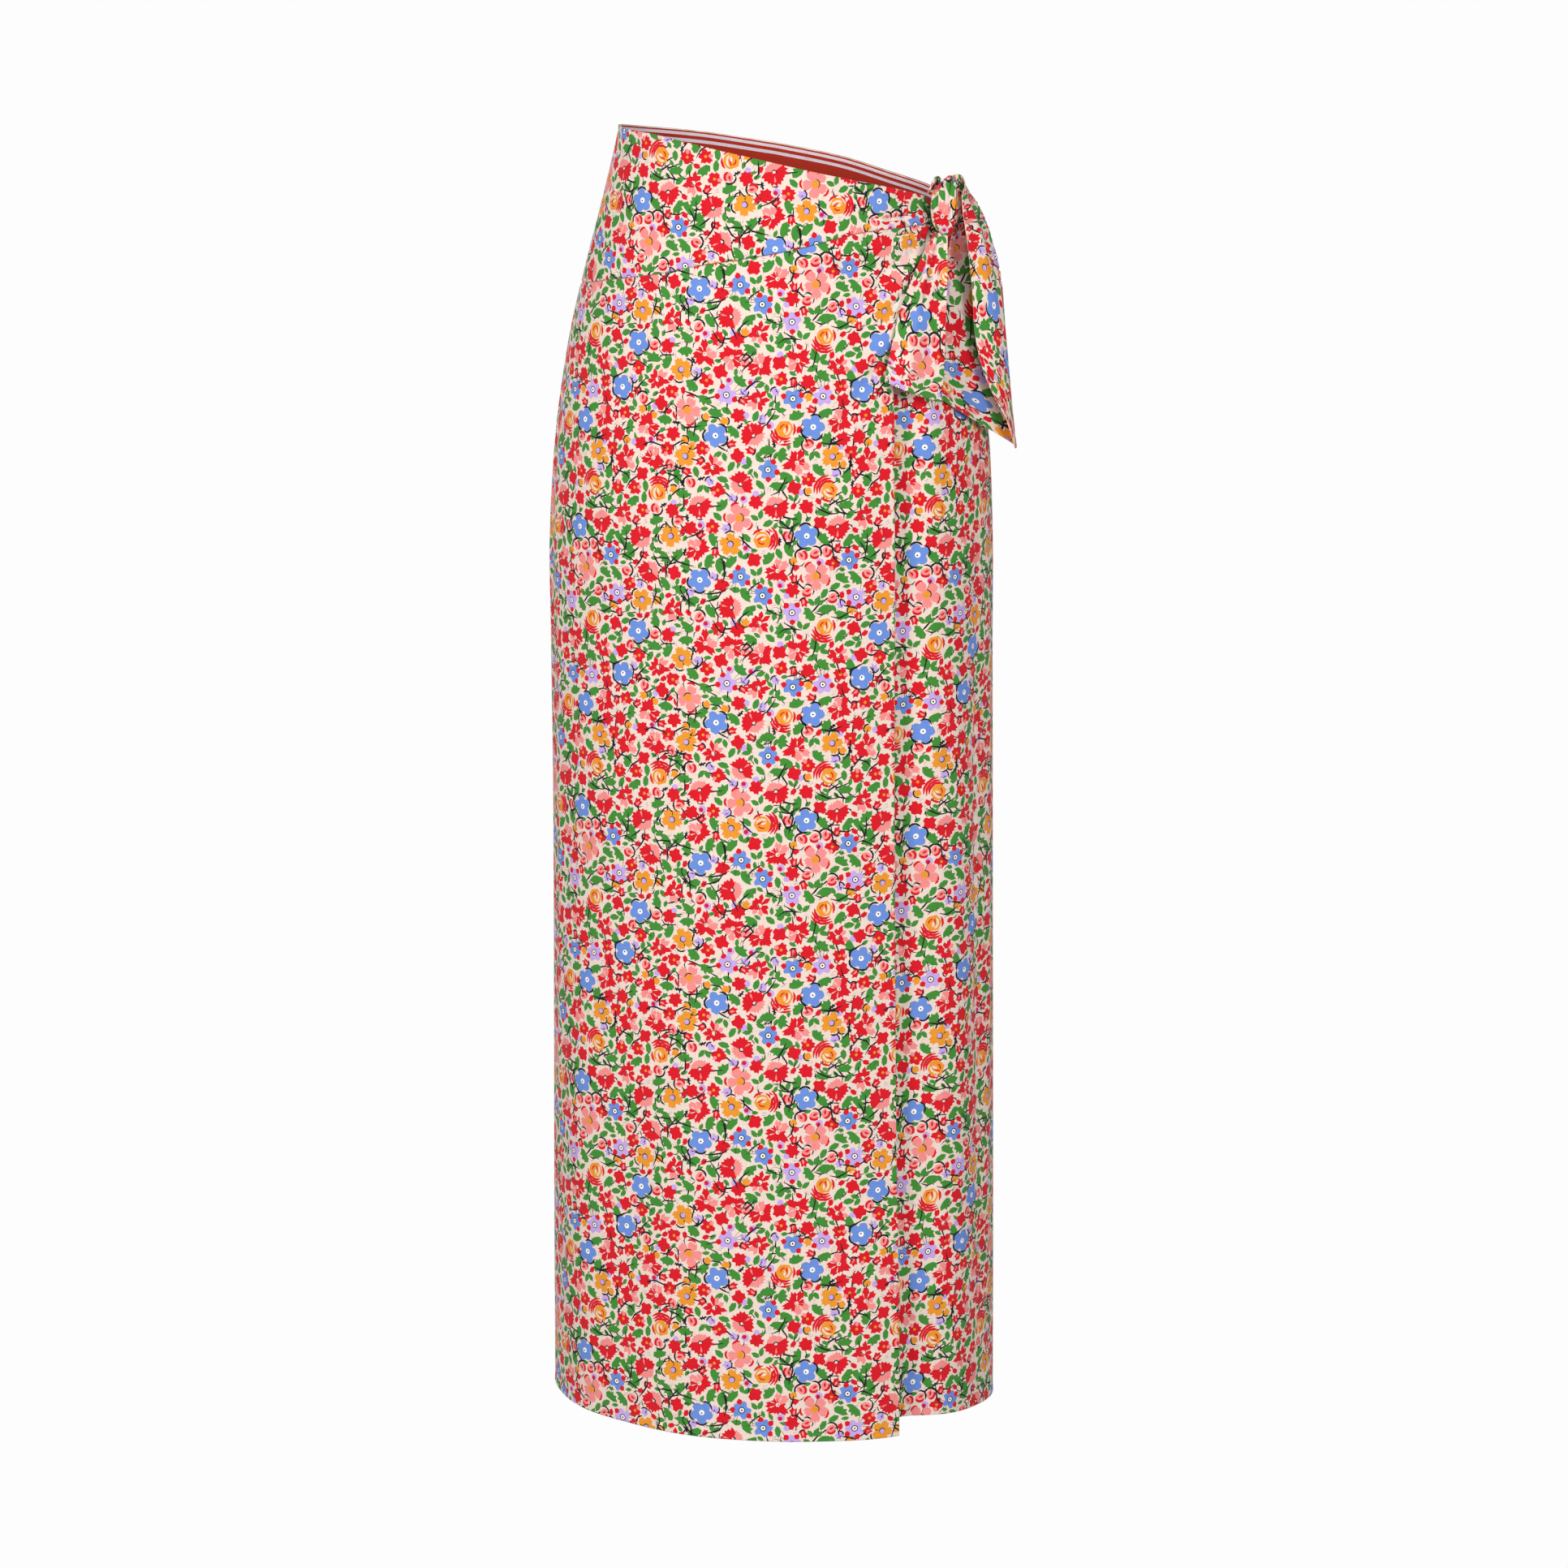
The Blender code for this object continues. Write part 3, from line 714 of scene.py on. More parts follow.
def one_repeat(seed):
    draw = random.Random(seed)
    room = np.full((TILE_HEIGHT, TILE_WIDTH), 14.0)
    reach = np.arange(-13, 14)
    near_x, near_y = np.meshgrid(reach, reach)

    def take(x, y, radius=0.35):
        column, row = int(x // 1), int(y // 1)
        away = np.hypot(near_x + column + 0.5 - x, near_y + row + 0.5 - y) - radius
        rows, columns = (near_y + row) % TILE_HEIGHT, (near_x + column) % TILE_WIDTH
        room[rows, columns] = np.minimum(room[rows, columns], away)

    def corners(drawing):
        """The corners of what is solid, or of all of it if it's only strokes."""
        solid = [line for ink, line in drawing if ink != "black"]
        return [point for line in solid or [line for _ink, line in drawing] for point in line]

    def take_drawing(drawing, x, y, radius):
        take(x, y, radius)
        for point_x, point_y in corners(drawing):
            take(point_x, point_y)

    def fit(drawing):
        return min(room[int(y // 1) % TILE_HEIGHT, int(x // 1) % TILE_WIDTH]
                   for x, y in corners(drawing))

    def emptiest():
        shake = np.array([draw.uniform(0.0, 0.5) for _ in range(41)])
        rows, columns = np.indices(room.shape)
        row, column = divmod(int(np.argmax(room + shake[(rows * 7 + columns * 3) % 41])), TILE_WIDTH)
        return column + 0.5, row + 0.5, float(room[row, column])

    large = [(radius, drawing) for count, radius, drawing in FLOWERS for _ in range(count)]
    small = [(radius, drawing) for count, radius, drawing in SMALL_FLOWERS for _ in range(count)]
    draw.shuffle(large)
    draw.shuffle(small)
    flowers = []
    for x, y, radius, drawing in lonely_places(large + small, draw):
        flower = placed(drawing(draw), x, y, draw.uniform(0, 360))
        flowers.append(flower)
        take_drawing(flower, x, y, radius * 0.72)

    fillers, stems = [], []
    while True:
        x, y, gap = emptiest()
        rows = [row for row in FILLERS if gap >= row[0]]
        if not rows:
            break
        for _least, choices in rows:
            drawing = draw.choice(choices)(draw)
            turn_by = draw.uniform(0, 30)
            turns = [placed(drawing, x, y, turn_by + step) for step in range(0, 360, 30)]
            best = max(turns, key=fit)
            if fit(best) > 0.4:
                fillers.append(best)
                take_drawing(best, x, y, 1.6)
                break
        else:
            take(x, y, 1.0)
            continue
        if gap > 2.0 and draw.random() < 0.46:
            length, bend = draw.uniform(12.0, 20.0), draw.choice((-5.0, -3.4, 3.4, 5.0))
            line = [(0.0, 0.0), (0.3 * length, bend * 0.55), (0.65 * length, bend),
                    (length, bend * 0.6)]
            twig = [(0.55 * length, bend * 0.9), (0.75 * length, bend * 0.9 + 2.6)]
            stem = [stroke("black", line, 1.3), stroke("black", twig, 1.1)]
            stems.append(placed(stem, x, y, draw.uniform(0, 360)))
    under, over = stems[::2], stems[1::2]
    return under + fillers + over + flowers


REPEAT = one_repeat(seed=5)
print("drawings in a repeat:", len(REPEAT))


# %% [markdown]
# ## Cutting the print into a sheet
# A panel is built in three steps. Its outline is drawn flat. The outline, a fine grid and all the
# flowers that fall on it are handed to a constrained Delaunay triangulation, which returns
# triangles that never cross a line of the print, so that each has one ink. Then every corner is
# moved to its place on the body. The wrong side is a second, coarser skin just inside the first,
# and a rim joins the two.
#
# The edges decide whether it looks like cloth. A free edge is turned twice and stitched, so it is
# thick and rounded and has a shallow groove under the stitches. A sewn edge dips into its seam.

# %% The profile of an edge
SHELL = 0.0006            # thickness of the cotton
TURNED = 0.0006           # what the turned edge adds to it
TURN_WIDTH = 0.0058       # how far the turned edge reaches in
STITCH_IN = 0.0032        # how far the stitches are from the edge
ROUND = 0.0009            # the radius of a turned edge
SEAM_DIP = 0.0010         # how deep a sewn edge dips
INSETS = (0.0004, 0.0010, 0.0031, 0.0060)


def edge_profile(distance, free):
    """How far the cloth's middle is moved outwards, and half of its thickness."""
    turned_edge = free * (1.0 - soft_step(TURN_WIDTH - 0.0008, TURN_WIDTH + 0.0004, distance))
    rounding = np.sqrt(1.0 - (1.0 - np.clip(distance / ROUND, 0.0, 1.0)) ** 2)
    groove = np.exp(-((distance - STITCH_IN) / 0.0008) ** 2)
    half = 0.5 * (SHELL + TURNED * turned_edge * (1.0 - 0.45 * groove))
    half *= np.where(free > 0.5, 0.25 + 0.75 * rounding, 1.0)
    dip = SEAM_DIP * (1.0 - np.clip(distance / 0.0022, 0.0, 1.0)) ** 2 * (1.0 - free)
    return -0.5 * SHELL - dip, half


print("a turned edge is", round(1000 * (SHELL + TURNED), 2), "mm thick and the cotton",
      round(1000 * SHELL, 2), "mm")


# %% [markdown]
# The outline's points each say whether their edge is free (1) or sewn (0). The distance from the
# edge is measured to the two stretches beside the nearest point.

# %% Measuring from the outline
def dense(points, kinds, step=0.0045):
    """A closed outline with points no further apart than `step`."""
    out, out_kinds = [], []
    for index, point in enumerate(points):
        after = points[(index + 1) % len(points)]
        kind = min(kinds[index], kinds[(index + 1) % len(points)])
        count = max(1, int(np.ceil(np.hypot(*(after - point)) / step)))
        for part in range(count):
            out.append(point + (after - point) * part / count)
            out_kinds.append(kinds[index] if part == 0 else kind)
    return np.array(out), np.array(out_kinds, float)


def from_edge(points, outline, kinds):
    """For each point, its distance from the outline and whether the edge there is free."""
    tree = kdtree.KDTree(len(outline))
    for index, (x, y) in enumerate(outline):
        tree.insert((x, y, 0.0), index)
    tree.balance()
    nearest = np.array([tree.find((x, y, 0.0))[1] for x, y in points])
    best = np.full(len(points), 9.0)
    for shift in (0, -1):
        start = outline[(nearest + shift) % len(outline)]
        end = outline[(nearest + shift + 1) % len(outline)]
        way = end - start
        share = np.clip(np.sum((points - start) * way, axis=1) / np.sum(way * way, axis=1), 0.0, 1.0)
        best = np.minimum(best, np.linalg.norm(points - start - way * share[:, None], axis=1))
    return best, kinds[nearest]


def inset_loop(outline, by):
    """The outline moved inwards, with its corners mitred."""
    ahead = np.roll(outline, -1, axis=0) - outline
    ahead /= np.linalg.norm(ahead, axis=1, keepdims=True)
    behind = np.roll(ahead, 1, axis=0)
    inward = np.stack([-(ahead + behind)[:, 1], (ahead + behind)[:, 0]], axis=1)
    size = np.sum(inward * np.stack([-ahead[:, 1], ahead[:, 0]], axis=1), axis=1, keepdims=True)
    return outline + inward / np.maximum(size, 0.35) * by


square = np.array([(0.0, 0.0), (1.0, 0.0), (1.0, 1.0), (0.0, 1.0)])
print("a square inset by 0.1:", inset_loop(square, 0.1).round(3).tolist())

# %% [markdown]
# `inside` tells which points lie in a closed line. With it, `ink_at` finds the ink of any place in
# the print: the last drawn shape that covers the place gives its ink.

# %% Which ink is where
def inside(points, line):
    """Which points lie inside a closed line."""
    after = np.roll(line, -1, axis=0)
    rise = after[:, 1] - line[:, 1]
    slope = (after[:, 0] - line[:, 0]) / np.where(rise == 0.0, 1e-12, rise)
    found = np.zeros(len(points), bool)
    for first in range(0, len(points), 4000):
        x, y = points[first:first + 4000, :1], points[first:first + 4000, 1:]
        crosses = (line[:, 1] > y) != (after[:, 1] > y)
        reach = line[:, 0] + (y - line[:, 1]) * slope
        found[first:first + 4000] = (crosses & (x < reach)).sum(axis=1) % 2 == 1
    return found


def spread_out(drawings, margin=9.0):
    """Every shape of the repeat, with copies of those that reach over the tile's edges."""
    shapes = []
    for drawing in drawings:
        points = np.concatenate([np.array(line) for _ink, line in drawing])
        low, high = points.min(axis=0), points.max(axis=0)
        for column in (-1, 0, 1):
            for row in (-1, 0, 1):
                move = np.array([column * TILE_WIDTH, row * TILE_HEIGHT])
                if (np.all(low + move < (TILE_WIDTH + margin, TILE_HEIGHT + margin))
                        and np.all(high + move > -margin)):
                    shapes += [(INK_NUMBER[ink], np.array(line) + move) for ink, line in drawing]
    return shapes


def ink_at(places):
    """The ink at places in millimetres from the corner of a repeat."""
    order = np.argsort(places[:, 1])
    heights = places[order, 1]
    inks = np.zeros(len(places), int)
    for ink, line in SHAPES:
        low, high = line.min(axis=0), line.max(axis=0)
        near = order[np.searchsorted(heights, low[1]):np.searchsorted(heights, high[1])]
        near = near[(places[near, 0] > low[0]) & (places[near, 0] < high[0])]
        inks[near[inside(places[near], line)]] = ink
    return inks


SHAPES = spread_out(REPEAT)
print("shapes in a repeat, with those over its edges:", len(SHAPES))


# %% [markdown]
# Most of a shape's outline is hidden under the shapes drawn after it. Only the lines where one ink
# meets another are needed, so the repeat is triangulated once on its own, and the sides of its
# triangles with two different inks are kept. Corners that hardly bend a line are dropped, except
# close to the tile's edges, where the next tile has to meet them.

# %% The lines between inks
def constrained(lines, edges, points=()):
    """Triangles whose sides follow the lines. `edges` are pairs of places in `points`."""
    corners = [Vector(point) for point in points]
    edges = [tuple(edge) for edge in edges]
    for line in lines:
        first = len(corners)
        corners += [Vector(point) for point in line]
        edges += [(first + step, first + (step + 1) % len(line)) for step in range(len(line))]
    flat, _edges, triangles, origin, _from_edge, _from_face = delaunay_2d_cdt(
        corners, edges, [], 0, 1e-7, True)
    return np.array([tuple(point) for point in flat]), np.array(triangles), origin


def lines_between_inks(tolerance):
    flat, triangles, _origin = constrained([line for _ink, line in SHAPES], [])
    inks = ink_at(flat[triangles].mean(axis=1))
    sides = np.concatenate([triangles[:, (0, 1)], triangles[:, (1, 2)], triangles[:, (2, 0)]])
    side_inks = np.concatenate([inks, inks, inks])
    seen = {}
    for (start, end), ink in zip(np.sort(sides, axis=1).tolist(), side_inks.tolist()):
        seen.setdefault((start, end), []).append(ink)
    beside = {}
    for (start, end), pair in seen.items():
        if len(set(pair)) > 1:
            beside.setdefault(start, set()).add(end)
            beside.setdefault(end, set()).add(start)
    pinned = ((flat < 3.0) | (flat > (TILE_WIDTH - 3.0, TILE_HEIGHT - 3.0))).any(axis=1)
    for limit in (0.4 * tolerance, tolerance):
        for corner in list(beside):
            if len(beside[corner]) == 2 and not pinned[corner]:
                start, end = beside[corner]
                way = flat[end] - flat[start]
                off = flat[corner] - flat[start]
                run = math.hypot(*way)
                if (end not in beside[start] and run > 0.0
                        and abs(way[0] * off[1] - way[1] * off[0]) < limit * run):
                    del beside[corner]
                    beside[start].remove(corner)
                    beside[end].remove(corner)
                    beside[start].add(end)
                    beside[end].add(start)
    edges = np.array([(start, end) for start in beside for end in beside[start] if start < end])
    middle = 0.5 * (flat[edges[:, 0]] + flat[edges[:, 1]])
    edges = edges[np.all((middle >= 0.0) & (middle < (TILE_WIDTH, TILE_HEIGHT)), axis=1)]
    used, edges = np.unique(edges, return_inverse=True)
    return flat[used], edges.reshape(-1, 2)


FINE_LINES = lines_between_inks(0.34)
COARSE_LINES = lines_between_inks(0.90)
print("corners in the lines of a repeat:", len(FINE_LINES[0]), "and, for the back,",
      len(COARSE_LINES[0]))


def print_on(low, high, tile_at, lines):
    """The lines between inks that fall on an area of flat cloth: their points and edges."""
    tile = np.array([TILE_WIDTH, TILE_HEIGHT]) / 1000.0
    first = np.floor((low - tile_at) / tile).astype(int)
    last = np.ceil((high - tile_at) / tile).astype(int)
    points, edges, count = [], [], 0
    for row in range(first[1], last[1]):
        for column in range(first[0], last[0]):
            moved = lines[0] / 1000.0 + tile_at + tile * (column, row)
            near = np.all((moved > low - 0.004) & (moved < high + 0.004), axis=1)
            kept = lines[1][near[lines[1]].all(axis=1)]
            used, kept = np.unique(kept, return_inverse=True)
            points.append(moved[used])
            edges.append(kept.reshape(-1, 2) + count)
            count += len(used)
    return np.concatenate(points), np.concatenate(edges)


# %% [markdown]
# `triangulated` is the cut itself. It gives back the flat corners, the triangles and each
# triangle's ink. `edge_loop` walks round the outside of a skin, so that the other skin and the rim
# can start from the very same corners.

# %% Cutting and joining the two skins
def triangulated(outline, extra_points, loops=(), lines=None, tile_at=None):
    """The flat corners, the triangles and their inks, and where each corner came from."""
    points, edges = lines if lines else (np.zeros((0, 2)), [])
    points = np.concatenate([outline, points, extra_points])
    ring = [(step, (step + 1) % len(outline)) for step in range(len(outline))]
    edges = ring + [(start + len(outline), end + len(outline)) for start, end in edges]
    flat, triangles, origin = constrained(loops, edges, points)
    centres = flat[triangles].mean(axis=1)
    kept = inside(centres, outline)
    triangles, centres = triangles[kept], centres[kept]
    inks = np.zeros(len(triangles), int)
    if lines:
        inks = ink_at((centres - tile_at) * 1000.0 % (TILE_WIDTH, TILE_HEIGHT))
    used, triangles = np.unique(triangles, return_inverse=True)
    return (flat[used], triangles.reshape(-1, 3).tolist(), inks.tolist(),
            [origin[corner] for corner in used])


def edge_loop(triangles):
    sides = set()
    for triangle in triangles:
        for start, end in zip(triangle, triangle[1:] + triangle[:1]):
            if (end, start) in sides:
                sides.remove((end, start))
            else:
                sides.add((start, end))
    follow = dict(sides)
    loop = [next(iter(follow))]
    while follow[loop[-1]] != loop[0]:
        loop.append(follow[loop[-1]])
    if len(loop) != len(sides):
        print("warning: the skin has more than one edge:", len(loop), "of", len(sides))
    return loop


def grid_inside(outline, step, margin):
    low, high = outline.min(axis=0), outline.max(axis=0)
    columns = np.arange(low[0] + 0.5 * step, high[0], step)
    rows = np.arange(low[1] + 0.5 * step, high[1], step * 0.87)
    x, y = np.meshgrid(columns, rows)
    x = x + 0.5 * step * (np.arange(len(rows)) % 2)[:, None]
    points = np.stack([x.ravel(), y.ravel()], axis=1)
    points = points[inside(points, outline)]
    distance, _free = from_edge(points, outline, np.ones(len(outline)))
    return points[distance > margin]


def placed_with_normals(place, flat):
    """Where the flat cloth goes, and the way out from its right side."""
    step = 0.0006
    here = place(flat)
    right = place(flat + (step, 0.0)) - place(flat - (step, 0.0))
    up = place(flat + (0.0, step)) - place(flat - (0.0, step))
    out = np.cross(right, up)
    return here, out / np.maximum(np.linalg.norm(out, axis=1, keepdims=True), 1e-12)


total_triangles = 0


def cloth_piece(name, points, kinds, place, materials, tile_at=None, grid=0.010, insets=INSETS,
                lines=FINE_LINES, wrong_grid=0.014, double=False):
    """A sheet of cloth from its flat outline. `tile_at` is where a repeat of the print starts, and
    a double sheet shows the print on both sides."""
    global total_triangles
    outline, kinds = dense(np.array(points, float), kinds)
    low, high = outline.min(axis=0), outline.max(axis=0)
    printed = None if tile_at is None else print_on(low, high, np.array(tile_at), lines)
    loops = [inset_loop(outline, by) for by in insets]
    flat, right_side, inks, _origin = triangulated(
        outline, grid_inside(outline, grid, insets[-1] + 0.001), loops, printed, tile_at)
    loop = edge_loop(right_side)
    if double:
        wrong_flat, wrong_side, wrong_inks, wrong_corner = flat, right_side, inks, loop
    else:
        wrong_flat, wrong_side, wrong_inks, origin = triangulated(
            flat[loop], grid_inside(flat[loop], wrong_grid, 0.006))
        wrong_corner = {source: corner for corner, sources in enumerate(origin) for source in sources}

    here, out = placed_with_normals(place, flat)
    middle, half = edge_profile(*from_edge(flat, outline, kinds))
    corners = here + out * (middle + half)[:, None]
    here, out = placed_with_normals(place, wrong_flat)
    middle, half = edge_profile(*from_edge(wrong_flat, outline, kinds))
    corners = np.concatenate([corners, here + out * (middle - half)[:, None]])

    count = len(flat)
    faces = [tuple(face) for face in right_side]
    faces += [tuple(count + corner for corner in reversed(face)) for face in wrong_side]
    rim = []
    for step, start in enumerate(loop):
        after = (step + 1) % len(loop)
        rim.append((loop[after], start, count + wrong_corner[step], count + wrong_corner[after]))
    faces += rim

    mesh = bpy.data.meshes.new(name)
    mesh.from_pydata(corners.tolist(), [], faces)
    mesh.shade_smooth()
    for material in materials:
        mesh.materials.append(material)
    side = np.zeros(len(faces), np.int32)
    side[len(right_side):len(right_side) + len(wrong_side)] = 1
    mesh.polygons.foreach_set("material_index", side)
    ink = mesh.attributes.new("ink", "FLOAT", "FACE")
    ink.data.foreach_set("value", np.array(inks + wrong_inks + [0] * len(rim), np.float32))

    # Two flat maps: one in metres for the weave, and one that fills a square, for a bake.
    both = np.concatenate([flat, wrong_flat])
    corner_of = np.zeros(len(mesh.loops), np.int32)
    mesh.loops.foreach_get("vertex_index", corner_of)
    cloth_uv = mesh.uv_layers.new(name="cloth")
    cloth_uv.data.foreach_set("uv", both[corner_of].astype(np.float32).ravel())
    size = high - low
    margin = 0.02 * size.max()
    sheet_uv = both - low + margin
    sheet_uv[count:, 0] += size[0] + 2.0 * margin
    square = sheet_uv[corner_of]
    outside = inset_loop(flat[loop], -0.25 * margin) - low + margin
    first_rim = len(corner_of) - 4 * len(rim)
    for step in range(len(loop)):
        after = (step + 1) % len(loop)
        square[first_rim + 4 * step + 2] = outside[step]
        square[first_rim + 4 * step + 3] = outside[after]
    square /= (2.0 * size[0] + 4.0 * margin, size[1] + 2.0 * margin)
    bake_uv = mesh.uv_layers.new(name="OFBake")
    bake_uv.data.foreach_set("uv", square.astype(np.float32).ravel())

    piece = bpy.data.objects.new(name, mesh)
    bpy.context.scene.collection.objects.link(piece)
    triangles = len(right_side) + len(wrong_side) + 2 * len(rim)
    total_triangles += triangles
    area = flat_area(outline)
    print(f"{name}: {triangles} triangles, "
          f"{size[0]:.3f} x {size[1]:.3f} m flat, {area:.4f} square metres")
    return piece, (float(size[0]), float(size[1])), area


def flat_area(outline):
    ahead = np.roll(outline, -1, axis=0)
    return 0.5 * float(abs(np.sum(outline[:, 0] * ahead[:, 1] - ahead[:, 0] * outline[:, 1])))


# %% [markdown]
# ## Inks, weave and thread
# The finishes are made of a few effects that several of them share, so each effect is a node group
# with named sockets. The groups only hand out colours, masks and heights. The shader itself stays
# in each material, where its roughness and sheen are set.

# %% Small tools for building node groups
def new_group(name, inputs, outputs):
    group = bpy.data.node_groups.new(name, "ShaderNodeTree")
    for socket, kind, value in inputs:
        made = group.interface.new_socket(socket, in_out="INPUT", socket_type=kind)
        if value is not None:
            made.default_value = value
    for socket, kind in outputs:
        group.interface.new_socket(socket, in_out="OUTPUT", socket_type=kind)
    return group, group.nodes.new("NodeGroupInput"), group.nodes.new("NodeGroupOutput")


def node(tree, kind, *links, **settings):
    """A new node, with its settings, and with `links` of (input name or number, socket or value)."""
    made = tree.nodes.new(kind)
    for setting, value in settings.items():
        setattr(made, setting, value)
    for socket, source in links:
        if isinstance(source, bpy.types.NodeSocket):
            tree.links.new(source, made.inputs[socket])
        else:
            made.inputs[socket].default_value = source
    return made


def colour(red, green, blue):
    """A colour as it looks on a screen, 0 to 255, turned to the linear values of the shader."""
    return tuple((value / 255.0 / 12.92) if value <= 10 else ((value / 255.0 + 0.055) / 1.055) ** 2.4
                 for value in (red, green, blue)) + (1.0,)


# %% [markdown]
# ### The inks
# A ramp with hard steps turns the number on each face into its ink. The colours are those of the
# dry cloth under soft light.

# %% Node group: print inks
INK_COLOURS = {
    "ground": colour(233, 212, 199),
    "pink": colour(240, 140, 136),
    "red": colour(214, 14, 32),
    "green": colour(62, 136, 48),
    "orange": colour(232, 148, 40),
    "blue": colour(104, 140, 214),
    "lilac": colour(194, 164, 226),
    "white": colour(250, 244, 236),
    "black": colour(22, 16, 22),
}


def make_inks():
    group, given, result = new_group(
        "print inks", [("Ink", "NodeSocketFloat", 0.0)], [("Color", "NodeSocketColor")])
    share = node(group, "ShaderNodeMath", (0, given.outputs["Ink"]), (1, 1.0 / len(INKS)),
                 operation="MULTIPLY")
    shifted = node(group, "ShaderNodeMath", (0, share.outputs[0]), (1, 0.5 / len(INKS)),
                   operation="ADD")
    ramp = node(group, "ShaderNodeValToRGB", (0, shifted.outputs[0]))
    steps = ramp.color_ramp
    steps.interpolation = "CONSTANT"
    while len(steps.elements) < len(INKS):
        steps.elements.new(1.0)
    for number, ink in enumerate(INKS):
        steps.elements[number].position = number / len(INKS)
        steps.elements[number].color = INK_COLOURS[ink]
    group.links.new(ramp.outputs["Color"], result.inputs["Color"])
    return group


INK_GROUP = make_inks()
print("made:", INK_GROUP.name)


# %% [markdown]
# ### The weave
# The cotton is plain woven from slightly uneven yarn. Each yarn is about 0.4 mm wide, and here and
# there one runs thick for a centimetre or two, a slub. Two wave textures cross for the yarns, and
# stretched noise makes the slubs, both read from the flat map of the cloth in metres.

# %% Node group: plain weave
def make_weave():
    group, given, result = new_group(
        "plain weave",
        [("Cloth", "NodeSocketVector", None), ("Yarns per metre", "NodeSocketFloat", 2400.0)],
        [("Height", "NodeSocketFloat"), ("Shade", "NodeSocketFloat")])
    apart = node(group, "ShaderNodeSeparateXYZ", (0, given.outputs["Cloth"]))
    heights, slubs = [], []
    for way, across, length in ((0, "X", "Y"), (1, "Y", "X")):
        place = node(group, "ShaderNodeMath", (0, apart.outputs[across]),
                     (1, given.outputs["Yarns per metre"]), operation="MULTIPLY")
        turned_place = node(group, "ShaderNodeMath", (0, place.outputs[0]), (1, math.pi),
                            operation="MULTIPLY")
        wave = node(group, "ShaderNodeMath", (0, turned_place.outputs[0]), operation="SINE")
        heights.append(node(group, "ShaderNodeMath", (0, wave.outputs[0]), operation="ABSOLUTE"))
        wide = node(group, "ShaderNodeMath", (0, apart.outputs[across]), (1, 1150.0),
                    operation="MULTIPLY")
        long = node(group, "ShaderNodeMath", (0, apart.outputs[length]), (1, 70.0 + 25.0 * way),
                    operation="MULTIPLY")
        stretched = node(group, "ShaderNodeCombineXYZ", (0, wide.outputs[0]), (1, long.outputs[0]),
                         (2, 3.0 + way))
        slubs.append(node(group, "ShaderNodeTexNoise", ("Vector", stretched.outputs[0]),
                          ("Scale", 1.0), ("Detail", 1.5), ("Roughness", 0.6)))
    yarns = node(group, "ShaderNodeMath", (0, heights[0].outputs[0]), (1, heights[1].outputs[0]),
                 operation="MAXIMUM")
    both = node(group, "ShaderNodeMath", (0, slubs[0].outputs[0]), (1, slubs[1].outputs[0]),
                operation="ADD")
    thick = node(group, "ShaderNodeMapRange", (0, both.outputs[0]), (1, 0.85), (2, 1.35), (3, -0.5),
                 (4, 0.9))
    height = node(group, "ShaderNodeMath", (0, yarns.outputs[0]), (1, 0.5), (2, thick.outputs[0]),
                  operation="MULTIPLY_ADD")
    group.links.new(height.outputs[0], result.inputs["Height"])
    shade = node(group, "ShaderNodeMapRange", (0, both.outputs[0]), (1, 0.70), (2, 1.30), (3, 0.90),
                 (4, 1.045))
    group.links.new(shade.outputs[0], result.inputs["Shade"])
    return group


WEAVE_GROUP = make_weave()
print("made:", WEAVE_GROUP.name)


# %% [markdown]
# ### Soft unevenness and the wrong side
# Dye and handling leave cloth a little uneven over a few centimetres. On the wrong side the print
# only shows through, so its colours are pale and blurred there: soft cells of a few pale inks.

# %% Node groups: uneven dye, print seen through
def make_uneven():
    group, given, result = new_group(
        "uneven dye", [("Cloth", "NodeSocketVector", None), ("Strength", "NodeSocketFloat", 0.04)],
        [("Shade", "NodeSocketFloat")])
    noise = node(group, "ShaderNodeTexNoise", ("Vector", given.outputs["Cloth"]), ("Scale", 34.0),
                 ("Detail", 2.0))
    centred = node(group, "ShaderNodeMath", (0, noise.outputs[0]), (1, 0.5), operation="SUBTRACT")
    shade = node(group, "ShaderNodeMath", (0, centred.outputs[0]), (1, given.outputs["Strength"]),
                 (2, 1.0), operation="MULTIPLY_ADD")
    group.links.new(shade.outputs[0], result.inputs["Shade"])
    return group


def make_seen_through():
    group, given, result = new_group(
        "print seen through",
        [("Cloth", "NodeSocketVector", None), ("Ground", "NodeSocketColor", (0.8, 0.7, 0.6, 1.0))],
        [("Color", "NodeSocketColor")])
    cells = node(group, "ShaderNodeTexVoronoi", ("Vector", given.outputs["Cloth"]), ("Scale", 95.0),
                 feature="SMOOTH_F1")
    apart = node(group, "ShaderNodeSeparateColor", (0, cells.outputs["Color"]))
    ramp = node(group, "ShaderNodeValToRGB", (0, apart.outputs[0]))
    steps = ramp.color_ramp
    steps.interpolation = "CONSTANT"
    pale = ((0.0, colour(232, 150, 150)), (0.34, colour(150, 178, 138)), (0.60, colour(226, 190, 150)),
            (0.72, colour(160, 172, 210)), (0.84, colour(236, 176, 172)))
    while len(steps.elements) < len(pale):
        steps.elements.new(1.0)
    for number, (position, value) in enumerate(pale):
        steps.elements[number].position = position
        steps.elements[number].color = value
    mask = node(group, "ShaderNodeMapRange", (0, cells.outputs["Distance"]), (1, 0.48), (2, 0.30),
                (3, 0.0), (4, 0.75))
    mixed = node(group, "ShaderNodeMix", ("Factor", mask.outputs[0]), (6, given.outputs["Ground"]),
                 (7, ramp.outputs["Color"]), data_type="RGBA")
    group.links.new(mixed.outputs[2], result.inputs["Color"])
    return group


